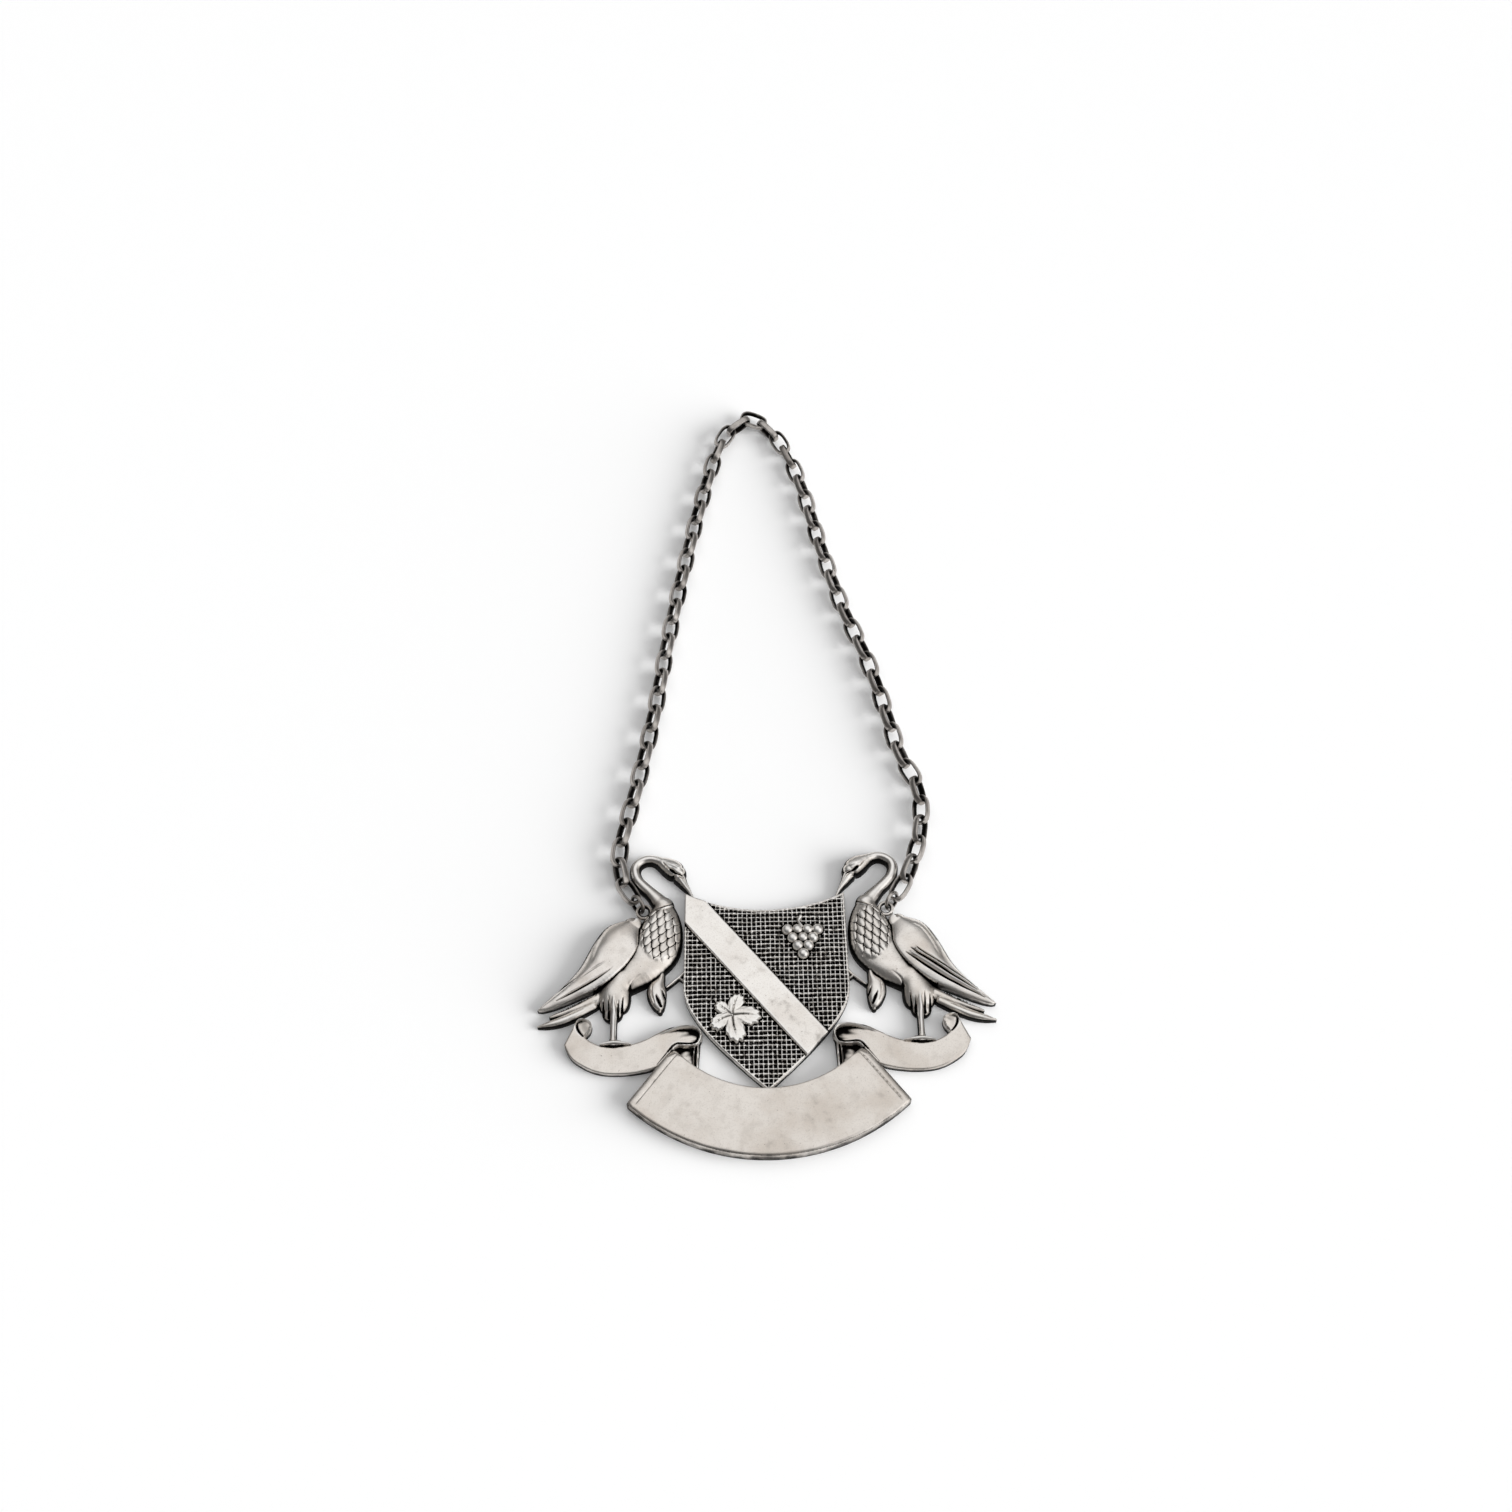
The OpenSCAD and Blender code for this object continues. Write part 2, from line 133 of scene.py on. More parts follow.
def outlineDepth(x, y, outline):  # positive inside a closed outline
    loop = np.vstack([outline, outline[:1]])
    d, _, _ = nearestOn(x, y, loop)
    inside = np.zeros(x.shape, bool)
    for (ax, ay), (bx, by) in zip(loop[:-1], loop[1:]):
        if ay != by:
            inside ^= ((ay > y) != (by > y)) & (x < (bx - ax) * (y - ay) / (by - ay) + ax)
    return np.where(inside, d, -d)


def softened(grid, cells):  # three box blurs each way
    cells = max(1, int(round(cells)))
    for axis in (0, 1):
        for _ in range(3):
            g = np.moveaxis(grid, axis, 0)
            g = np.concatenate([np.repeat(g[:1], cells + 1, 0), g, np.repeat(g[-1:], cells, 0)])
            total = np.cumsum(g, 0)
            g = (total[2 * cells + 1:] - total[:-2 * cells - 1]) / (2 * cells + 1)
            grid = np.moveaxis(g, 0, axis)
    return grid


def wander(x, y, size, seed):  # slow random waves, about -1 to 1
    rng = np.random.default_rng(seed)
    total = np.zeros(x.shape)
    for _ in range(7):
        a, phase = rng.uniform(0, 2 * math.pi, 2)
        k = 2 * math.pi / (size * rng.uniform(0.7, 1.6))
        total += np.sin(k * (x * math.cos(a) + y * math.sin(a)) + phase)
    return total / 3.5


cellFaces = {1: ["0ad"], 2: ["1ba"], 3: ["01bd"], 4: ["2cb"], 5: ["0ad", "2cb"], 6: ["12ca"],
             7: ["012cd"], 8: ["3dc"], 9: ["0ac3"], 10: ["1ba", "3dc"], 11: ["01bc3"],
             12: ["23db"], 13: ["0ab23"], 14: ["123da"], 15: ["0123"]}
castLook = {
    "margin": 0.3,  # how far the grid goes past the solid
    "fine": 0.16, "broad": 0.6, "broadShare": 0.55,  # sizes over which a hollow is told from an edge
    # the outline is made a little lighter, as wear and a painted highlight; the foot of the side walls gets
    # painted shade
    "cross": (0.06, 0.94), "edgeWearAndShine": 0.06, "least": 0.1, "wallFootShade": 0.32, "sharpFrom": 48.0,
    "turnRun": 4, "shadeRun": 6,  # points each way over which the side walls are evened out
}


def castRelief(name, node, pitch, shape, wallFootShade=castLook["wallFootShade"]):
    # a closed casting with a flat back; shape(x, y) gives height, depth inside the outline and painted shade
    look = castLook
    low, high = (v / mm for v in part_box(node))
    low, high = [v - look["margin"] for v in low[:2]], [v + look["margin"] for v in high[:2]]
    nx, ny = (int(math.ceil((high[k] - low[k]) / pitch)) + 1 for k in (0, 1))
    gx, gy = np.meshgrid(low[0] + pitch * np.arange(nx), low[1] + pitch * np.arange(ny), indexing="ij")
    z, edge, paintedShade = (v.reshape(nx, ny) for v in shape(gx.ravel(), gy.ravel()))
    solid = edge > 0
    mean = lambda size: (softened(z * solid, size / pitch)
                         / np.maximum(softened(solid * 1.0, size / pitch), 1e-3))
    # hollows darker and crests lighter, reckoned from the height: painted shade and highlight together with
    # the patina the silver has in its hollows; shape adds its own painted shade
    shadeShineAndPatina = (mean(look["fine"]) - z) + look["broadShare"] * (mean(look["broad"]) - z) + paintedShade
    i, j = (v.ravel() for v in np.meshgrid(np.arange(nx - 1), np.arange(ny - 1), indexing="ij"))
    case = solid[i, j] + 2 * solid[i + 1, j] + 4 * solid[i + 1, j + 1] + 8 * solid[i, j + 1]
    count = nx * ny
    ids = {"0": i * ny + j, "1": (i + 1) * ny + j, "2": (i + 1) * ny + j + 1, "3": i * ny + j + 1,
           "a": count + i * ny + j, "c": count + i * ny + j + 1,
           "d": 2 * count + i * ny + j, "b": 2 * count + (i + 1) * ny + j}
    faces = []
    for kind, shapes in cellFaces.items():
        cells = np.nonzero(case == kind)[0]
        for corners in shapes:
            faces.append(np.stack([ids[c][cells] for c in corners], 1))
    used = np.unique(np.concatenate([f.ravel() for f in faces]))
    faces = [np.searchsorted(used, f) for f in faces]
    start = used % count
    si, sj = start // ny, start % ny
    px, py, pz, pc = gx[si, sj], gy[si, sj], z[si, sj], shadeShineAndPatina[si, sj]
    for kind, di, dj in ((1, 1, 0), (2, 0, 1)):  # points on the outline
        on = used // count == kind
        ei, ej = np.minimum(si[on] + di, nx - 1), np.minimum(sj[on] + dj, ny - 1)
        first, last = edge[si[on], sj[on]], edge[ei, ej]
        t = np.clip(first / (first - last), *look["cross"])
        px[on] += di * t * pitch
        py[on] += dj * t * pitch
        # outline points a little lighter: wear and a painted highlight
        pc[on] = np.where(first > 0, pc[on], shadeShineAndPatina[ei, ej]) - look["edgeWearAndShine"]
        pz[on] = np.maximum(shape(px[on], py[on])[0], look["least"])
    directed = np.concatenate([np.stack([f[:, k], f[:, (k + 1) % f.shape[1]]], 1)
                               for f in faces for k in range(f.shape[1])])
    size = len(used)
    forward = directed[:, 0] * size + directed[:, 1]
    back = directed[:, 1] * size + directed[:, 0]
    rim = directed[~np.isin(forward, back)]
    foot = dict(zip(rim[:, 0].tolist(), range(size, size + len(rim))))
    follow = dict(rim.tolist())
    walls = [[b, a, foot[a], foot[b]] for a, b in rim.tolist()]
    coords = np.stack([px, py, pz], 1)
    coords = np.vstack([coords, coords[list(foot)] * (1, 1, 0)])
    loops, left = [], set(foot)
    while left:
        at = first = left.pop()
        loop = [at]
        while follow[at] != first:
            at = follow[at]
            left.discard(at)
            loop.append(at)
        loops.append(loop)
    outward = np.zeros((size, 3))
    for loop in loops:  # even the normals and the painted shade along the side walls
        ring = np.array(loop)
        ahead, behind = np.roll(ring, -look["turnRun"]), np.roll(ring, look["turnRun"])
        run = coords[ahead] - coords[behind]
        outward[ring, 0], outward[ring, 1] = run[:, 1], -run[:, 0]
        pc[ring] = np.mean([np.roll(pc[ring], n) for n in range(-look["shadeRun"], look["shadeRun"] + 1)], 0)
    outward /= np.maximum(np.linalg.norm(outward, axis=1), 1e-9)[:, None]
    order = [foot[a] for loop in loops for a in loop]
    backFaces = []
    for tri in tessellate_polygon([[Vector(coords[foot[a]]) for a in loop] for loop in loops]):
        a, b, c = (order[k] for k in tri)
        u, v = coords[b] - coords[a], coords[c] - coords[a]
        backFaces.append([a, b, c] if u[0] * v[1] - u[1] * v[0] < 0 else [a, c, b])
    mesh = bpy.data.meshes.new(name)
    mesh.from_pydata((coords * mm).tolist(), [], [r for f in faces for r in f.tolist()] + walls + backFaces)
    # the outline points keep their painted shade and highlight; the feet of the walls get a flat painted
    # shade
    dark = np.concatenate([pc, np.full(len(foot), wallFootShade)])
    mesh.attributes.new("shadeShineAndPatina", "FLOAT", "POINT").data.foreach_set("value", dark.astype(np.float32))
    mesh.shade_smooth()
    mesh.set_sharp_from_angle(angle=math.radians(look["sharpFrom"]))
    pairs = np.empty(2 * len(mesh.edges), np.int64)
    mesh.edges.foreach_get("vertices", pairs)
    pairs = np.sort(pairs.reshape(-1, 2), 1) @ (len(coords), 1)
    sharp = np.empty(len(mesh.edges), bool)
    mesh.attributes["sharp_edge"].data.foreach_get("value", sharp)
    sharp |= np.isin(pairs, np.sort(rim, 1) @ (len(coords), 1))  # a clean arris all round the front
    mesh.attributes["sharp_edge"].data.foreach_set("value", sharp)
    normals = np.zeros((len(mesh.loops), 3))
    start = sum(f.size for f in faces)
    normals[start:start + 4 * len(walls)] = np.array([[outward[b], outward[a], outward[a], outward[b]]
                                                      for a, b in rim.tolist()]).reshape(-1, 3)
    mesh.normals_split_custom_set(normals.tolist())
    return addPiece(name, mesh)


def addPiece(name, mesh):
    piece = bpy.data.objects.new(name, mesh)
    bpy.context.scene.collection.objects.link(piece)
    return piece


def dress(piece, material, body, slot, *nodes):
    piece.data.materials.append(material)
    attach(piece, body)
    if nodes:
        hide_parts(*nodes)


# finishes

# the tarnish colour is laid over hollows and wall feet as painted shade together with patina; the worn colour
# lightens edges as wear and a painted highlight
silverLook = {
    "bright": (0.93, 0.885, 0.835, 1), "warm": (0.8, 0.73, 0.66, 1), "haze": (0.55, 0.5, 0.455, 1),
    "speck": (0.2, 0.165, 0.14, 1), "tarnishAndShade": (0.006, 0.005, 0.0045, 1), "wearAndShine": (1.0, 0.98, 0.95, 1),
}
# a lighter copy of the silver for the shield: painted highlight on the hatch ridges and the band
hatchLook = {**silverLook, "bright": (1.0, 0.965, 0.92, 1), "warm": (0.93, 0.875, 0.815, 1)}
# a darker copy of the same silver for the banner and scrolls: painted shade
plateLook = {
    **silverLook,
    "bright": (0.85, 0.8, 0.745, 1), "warm": (0.75, 0.68, 0.61, 1), "haze": (0.55, 0.5, 0.45, 1),
}
chainLook = {
    "bright": (0.54, 0.505, 0.475, 1), "warm": (0.4, 0.365, 0.335, 1), "haze": (0.22, 0.205, 0.19, 1),
    "speck": (0.1, 0.088, 0.078, 1), "tarnishAndShade": (0.006, 0.005, 0.0045, 1), "wearAndShine": (0.9, 0.865, 0.82, 1),
}
surfaceLook = {  # noise scale, detail, roughness and, for fine lines, their turn
    "clouds": (150, 4.0), "blotches": (640, 3.0), "grain": (5200, 2.0, 0.6), "specks": (2300, 3.0, 0.7),
    "scratches": (760, 2.0, 0.6, 0.5), "crossScratches": (640, 2.0, 0.6, -0.9), "lineStretch": 16,
    "bumpStrength": 0.25, "bumpHeight": 0.035 * mm,
}


def silverFinish(name, look, darkFrom, darkTo, polish):
    mat = bpy.data.materials.new(name)
    mat.use_nodes = True
    nodes, links = mat.node_tree.nodes, mat.node_tree.links
    shader = nodes["Principled BSDF"]
    shader.inputs["Metallic"].default_value = 1.0
    surface = surfaceLook
    place = nodes.new("ShaderNodeTexCoord").outputs["Object"]

    def noise(scale, detail, rough=0.55, turn=None):  # turn draws it out into fine lines
        node = nodes.new("ShaderNodeTexNoise")
        node.inputs["Scale"].default_value = scale
        node.inputs["Detail"].default_value = detail
        node.inputs["Roughness"].default_value = rough
        source = place
        if turn is not None:
            lines = nodes.new("ShaderNodeMapping")
            lines.inputs["Rotation"].default_value = (0, 0, turn)
            lines.inputs["Scale"].default_value = (1, surface["lineStretch"], 1)
            links.new(place, lines.inputs["Vector"])
            source = lines.outputs["Vector"]
        links.new(source, node.inputs["Vector"])
        return node.outputs["Fac"]

    def spread(value, low, high, outLow=0.0, outHigh=1.0):
        node = nodes.new("ShaderNodeMapRange")
        node.interpolation_type = "SMOOTHSTEP"
        for key, number in (("From Min", low), ("From Max", high), ("To Min", outLow), ("To Max", outHigh)):
            node.inputs[key].default_value = number
        links.new(value, node.inputs["Value"])
        return node.outputs["Result"]

    def total(*values):
        while len(values) > 1:
            node = nodes.new("ShaderNodeMath")
            links.new(values[0], node.inputs[0])
            links.new(values[1], node.inputs[1])
            values = (node.outputs["Value"],) + values[2:]
        return values[0]

    def blend(fac, a, b):
        node = nodes.new("ShaderNodeMix")
        node.data_type = "RGBA"
        links.new(fac, node.inputs["Factor"])
        for socket, v in ((node.inputs[6], a), (node.inputs[7], b)):
            if isinstance(v, tuple):
                socket.default_value = v
            else:
                links.new(v, socket)
        return node.outputs[2]

    paintedShading = nodes.new("ShaderNodeAttribute")
    paintedShading.attribute_name = "shadeShineAndPatina"
    clouds = noise(*surface["clouds"])
    blotches = noise(*surface["blotches"])
    grain = noise(*surface["grain"])
    scratches = total(spread(noise(*surface["scratches"]), 0.6, 0.74, 0, 0.5),
                      spread(noise(*surface["crossScratches"]), 0.62, 0.76, 0, 0.5))
    # dark: painted shade in hollows and under parts, with patina and random blotches, towards the tarnish
    # colour
    dark = spread(total(paintedShading.outputs["Fac"], spread(clouds, 0.3, 0.75, -0.03, 0.04),
                        spread(blotches, 0.35, 0.75, -0.03, 0.03)), darkFrom, darkTo)
    colour = blend(spread(clouds, 0.42, 0.7, 0, 0.9), look["bright"], look["warm"])
    colour = blend(spread(blotches, 0.48, 0.8, 0, 0.4), colour, look["haze"])
    colour = blend(spread(grain, 0.46, 0.8, 0, 0.4), colour, look["haze"])
    colour = blend(spread(scratches, 0.1, 0.9, 0, 0.4), colour, look["haze"])
    colour = blend(spread(noise(*surface["specks"]), 0.65, 0.75, 0, 0.75), colour, look["speck"])
    wearAndShineMask = spread(paintedShading.outputs["Fac"], -0.2, -0.03, 0.8, 0)  # edges lighter: wear and a painted highlight
    colour = blend(wearAndShineMask, colour, look["wearAndShine"])
    links.new(blend(dark, colour, look["tarnishAndShade"]), shader.inputs["Base Color"])
    links.new(total(spread(clouds, 0.3, 0.8, polish, polish + 0.12), spread(scratches, 0, 1, 0, 0.08),
                    spread(dark, 0, 1, 0, 0.25)), shader.inputs["Roughness"])
    bump = nodes.new("ShaderNodeBump")
    bump.inputs["Strength"].default_value = surface["bumpStrength"]
    bump.inputs["Distance"].default_value = surface["bumpHeight"]
    links.new(total(spread(grain, 0.2, 0.8, 0, 0.7), spread(scratches, 0, 1, 0.3, 0)), bump.inputs["Height"])
    links.new(bump.outputs["Normal"], shader.inputs["Normal"])
    return mat


castSilver = silverFinish("castSilver", silverLook, 0.03, 0.21, 0.3)
plateSilver = silverFinish("plateSilver", plateLook, 0.03, 0.21, 0.3)
hatchSilver = silverFinish("hatchSilver", hatchLook, 0.0, 0.15, 0.3)
chainSilver = silverFinish("chainSilver", chainLook, 0.0, 0.26, 0.27)
print("finishes mixed")


# main points of the label, from the solids

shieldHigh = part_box("shield")[1] / mm
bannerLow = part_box("title_banner")[0] / mm
corner = (shieldHigh.x - 0.2, shieldHigh.y)

bannerLook = {
    "radius": 16.5, "halfAngle": 49.5, "height": 9.0, "footRadius": 27.4, "footAngle": 42.5,
    "thick": 2.2, "edgeRound": 0.5, "edgeDrop": 0.42, "rimWidth": 0.95, "rimDrop": 0.6,
    "upperRound": 0.3, "upperDrop": 0.16, "rimLine": 0.13, "lineOff": 0.05, "lineHalf": 0.09,
    # the foot of the side walls gets painted shade
    "cornerRound": 0.5, "cornerRoll": 0.55, "pitch": 0.11, "wallFootShade": 0.2,
}
bannerY = bannerLow.y + bannerLook["radius"] + bannerLook["height"]
bannerFootY = bannerLow.y + bannerLook["footRadius"]


def onArc(radius, degrees, centreY):
    a = math.radians(degrees)
    return np.array([radius * math.sin(a), centreY - radius * math.cos(a)])


bannerEnd = onArc(bannerLook["radius"], bannerLook["halfAngle"], bannerY)
bannerFoot = onArc(bannerLook["footRadius"], bannerLook["footAngle"], bannerFootY)


def bannerDepths(x, y):  # depth inside the upper edge, the lower edge and the two ends
    upper = np.hypot(x, y - bannerY) - bannerLook["radius"]
    lower = bannerLook["footRadius"] - np.hypot(x, y - bannerFootY)
    run = (bannerFoot - bannerEnd) / np.hypot(*(bannerFoot - bannerEnd))
    ends = (np.abs(x) - bannerEnd[0]) * run[1] - (y - bannerEnd[1]) * run[0]
    return upper, lower, np.where(y < bannerY, ends, -9.0)


def bannerInside(x, y):
    upper, lower, ends = bannerDepths(x, y)
    r = bannerLook["cornerRound"]
    return np.minimum(r - np.hypot(np.maximum(r - upper, 0), np.maximum(r - ends, 0)), lower)


def quarterRound(depth, width, drop):  # how far a rounded edge falls
    t = np.clip(0.12 + 0.88 * depth / width, 0.12, 1)
    return drop * (1 - np.sqrt(1 - (1 - t) ** 2))


# shield: hatched ground, smooth band, vine leaf and grapes

shieldLook = {
    "thick": 1.4, "dip": 2.5, "side": 13.9, "flank": 4.3, "tipPull": (5.5, 5.0), "pitch": 0.07, "border": 0.3,
    "hatch": (0.622, 0.66), "pit": 0.232, "pitDepth": 0.36, "waver": 0.035, "weave": 0.03,
    "bandWidth": 4.4, "bandRise": 0.35, "bandTilt": 50.0, "bandEdge": 0.16, "bandGroove": 0.12,
    "leafAt": (-4.9, -3.6), "leafTurn": -40.0, "leafRadius": 3.4, "leafRise": 0.5, "leafGroove": 0.14,
    "stalk": [(0.3, 0, 0.26, 0.75), (1.3, -0.25, 0.2, 0.6), (2.2, 0.15, 0.24, 0.55)],
    "grapesAt": (5.1, 8.6), "grapeRadius": 0.8, "grapeLap": 0.24, "grapeRows": 4,
    "grapeGroove": 0.13, "grooveDepth": 0.2, "stemShare": 0.75,
}


def shieldOutline():
    k = shieldLook
    top = shieldHigh.y
    foot = (shieldHigh.x, top - k["side"])
    lower = bezierLine(foot, (foot[0], foot[1] - k["flank"]),
                       (k["tipPull"][0], k["tipPull"][1] - top), (0, -top))
    bow = (corner[0] ** 2 + k["dip"] ** 2) / (2 * k["dip"])
    a = np.linspace(-1, 1, 25) * math.asin(corner[0] / bow)
    upper = np.stack([bow * np.sin(a), top - k["dip"] + bow - bow * np.cos(a)], 1)
    return np.vstack([upper, lower, (lower[:-1] * (-1, 1))[::-1]])


def leafField(x, y):  # depth inside the leaf, its veins and the leaf's own coordinates
    k = shieldLook
    a = math.radians(k["leafTurn"])
    dx, dy = x - k["leafAt"][0], y - k["leafAt"][1]
    u, v = dx * math.cos(a) + dy * math.sin(a), dy * math.cos(a) - dx * math.sin(a)
    t = np.arctan2(v, -u)
    lobe = np.abs(np.cos(2.5 * t)) ** 0.8
    reach = k["leafRadius"] * (0.5 + 0.5 * lobe) * (1 - 0.25 * np.cos(t))
    reach = reach * (1 + 0.035 * np.sin(30 * t))
    depth = reach - np.hypot(u, v)
    veins = np.zeros(x.shape)
    for n in range(5):
        b = math.pi * 2 * n / 5
        tip = 0.9 * k["leafRadius"] * (1 - 0.25 * math.cos(b))
        tip = (-tip * math.cos(b), tip * math.sin(b))
        veins += groove(u, v, [(0.35, 0, 0.2, 0.16), (tip[0] * 0.5, tip[1] * 0.5, 0.16, 0.13),
                               (tip[0], tip[1], 0.08, 0.02)])
        for f, s in ((0.45, 1), (0.45, -1), (0.65, 1), (0.65, -1)):
            p = (tip[0] * f, tip[1] * f)
            q = (p[0] + 0.55 * math.cos(math.pi - b + 0.8 * s), p[1] + 0.55 * math.sin(math.pi - b + 0.8 * s))
            veins += groove(u, v, [(*p, 0.09, 0.07), (*q, 0.05, 0.02)])
    return depth, veins, u, v


def shieldShape(x, y):
    k = shieldLook
    edge = np.minimum(outlineDepth(x, y, shieldOutline()), -bannerInside(x, y))
    px, py = k["hatch"]
    hx = x + k["waver"] * wander(x, y, 4.0, 31)  # hand-cut lines waver a little
    hy = y + k["waver"] * wander(x, y, 4.5, 32)
    cx = np.abs((hx / px) % 1 - 0.5) * px
    cy = np.abs((hy / py) % 1 - 0.5) * py
    size = k["pit"] + 0.02 * wander(x, y, 0.9, 33)
    pit = (1 - ramp(cx, size - 0.04, size + 0.04)) * (1 - ramp(cy, size - 0.03, size + 0.05))
    pit = pit * ramp(edge, k["border"] - 0.06, k["border"] + 0.06)
    weave = k["weave"] * np.cos(2 * math.pi * hx / px) * np.cos(2 * math.pi * hy / py)
    ground = k["thick"] - k["pitDepth"] * pit + weave
    a = math.radians(k["bandTilt"])
    off = k["bandWidth"] / 2 - np.abs(x * math.sin(a) + y * math.cos(a))
    flat = k["thick"] + k["bandRise"] * np.sqrt(np.clip(off / k["bandEdge"], 0, 1))
    flat = flat + 0.012 * wander(x, y, 3.0, 4)
    z = np.where(off > 0, flat, ground)
    z = np.where((off < 0) & (off > -k["bandGroove"]), np.minimum(z, k["thick"] - k["bandGroove"]), z)
    depth, veins, u, v = leafField(x, y)
    crown = k["leafRise"] * np.clip(depth / 0.3, 0, 1) ** 0.5 + 0.16 * np.clip(depth / 1.6, 0, 1)
    z = np.where(depth > 0, k["thick"] + crown - veins, z)
    sunk = np.minimum(z, k["thick"] - k["grooveDepth"])
    z = np.where((depth < 0) & (depth > -k["leafGroove"]) & (off < 0), sunk, z)
    stalk = form(u, v, k["stalk"], rim=(0.3, 0.3))[0]
    z = np.where(stalk > 0, np.maximum(z, k["thick"] + stalk * k["stemShare"]), z)
    step = 2 * k["grapeRadius"] - k["grapeLap"]
    gx0, gy0 = k["grapesAt"]
    berries = np.full(x.shape, -1.0)
    halo = np.full(x.shape, 9.0)
    for row in range(k["grapeRows"]):
        for col in range(k["grapeRows"] - row):
            bx = gx0 + (col - (k["grapeRows"] - 1 - row) / 2) * step
            by = gy0 - row * step * math.sin(math.radians(60))
            d = np.hypot(x - bx, y - by)
            berries = np.maximum(berries, np.sqrt(np.maximum(k["grapeRadius"] ** 2 - d * d, 0))
                                 - 9 * (d > k["grapeRadius"]))
            halo = np.minimum(halo, d - k["grapeRadius"])
    z = np.where(berries > 0, k["thick"] + berries * 0.95 - 0.06, z)
    z = np.where((halo > 0) & (halo < k["grapeGroove"]), np.minimum(z, k["thick"] - k["grooveDepth"]), z)
    stem = form(x, y, [(gx0 - 0.1, gy0 + 0.4, 0.2, 0.8), (gx0 - 0.5, gy0 + 1.2, 0.17, 0.6),
                       (gx0 - 0.2, gy0 + 1.9, 0.24, 0.6)], rim=(0.3, 0.3))[0]
    z = np.where(stem > 0, np.maximum(z, k["thick"] + stem * k["stemShare"]), z)
    return z - quarterRound(edge, 0.22, 0.2), edge, np.zeros(x.shape)


shield = castRelief("shieldRelief", "shield", shieldLook["pitch"], shieldShape)
dress(shield, hatchSilver, "label", "cast_silver", "shield")
print("shield cast:", len(shield.data.polygons), "faces")


# title banner: a bare curved plate with a rolled edge at each end

def bannerShape(x, y):
    k = bannerLook
    upper, lower, ends = bannerDepths(x, y)
    z = k["thick"] + 0.02 * wander(x, y, 5.0, 11) + 0.006 * wander(x, y, 1.1, 12)
    z = z - quarterRound(lower, k["edgeRound"], k["edgeDrop"])
    z = z - quarterRound(upper, k["upperRound"], k["upperDrop"])
    z = z - quarterRound(ends, k["rimWidth"], k["rimDrop"])
    line = np.exp(-((ends - k["rimWidth"] - k["lineOff"]) / k["lineHalf"]) ** 2)
    z = z - k["rimLine"] * line * ramp(lower, 0.2, 1.0) * ramp(upper, 0.1, 0.8)
    z = z - k["cornerRoll"] * ramp(-(ends + 1.2 * upper), -2.2, 0.2)  # the upper corners roll back
    return np.maximum(z, 0.4), bannerInside(x, y), np.zeros(x.shape)


banner = castRelief("titleBanner", "title_banner", bannerLook["pitch"], bannerShape, bannerLook["wallFootShade"])
dress(banner, plateSilver, "label", "cast_silver", "title_banner")
print("title banner cast:", len(banner.data.polygons), "faces")
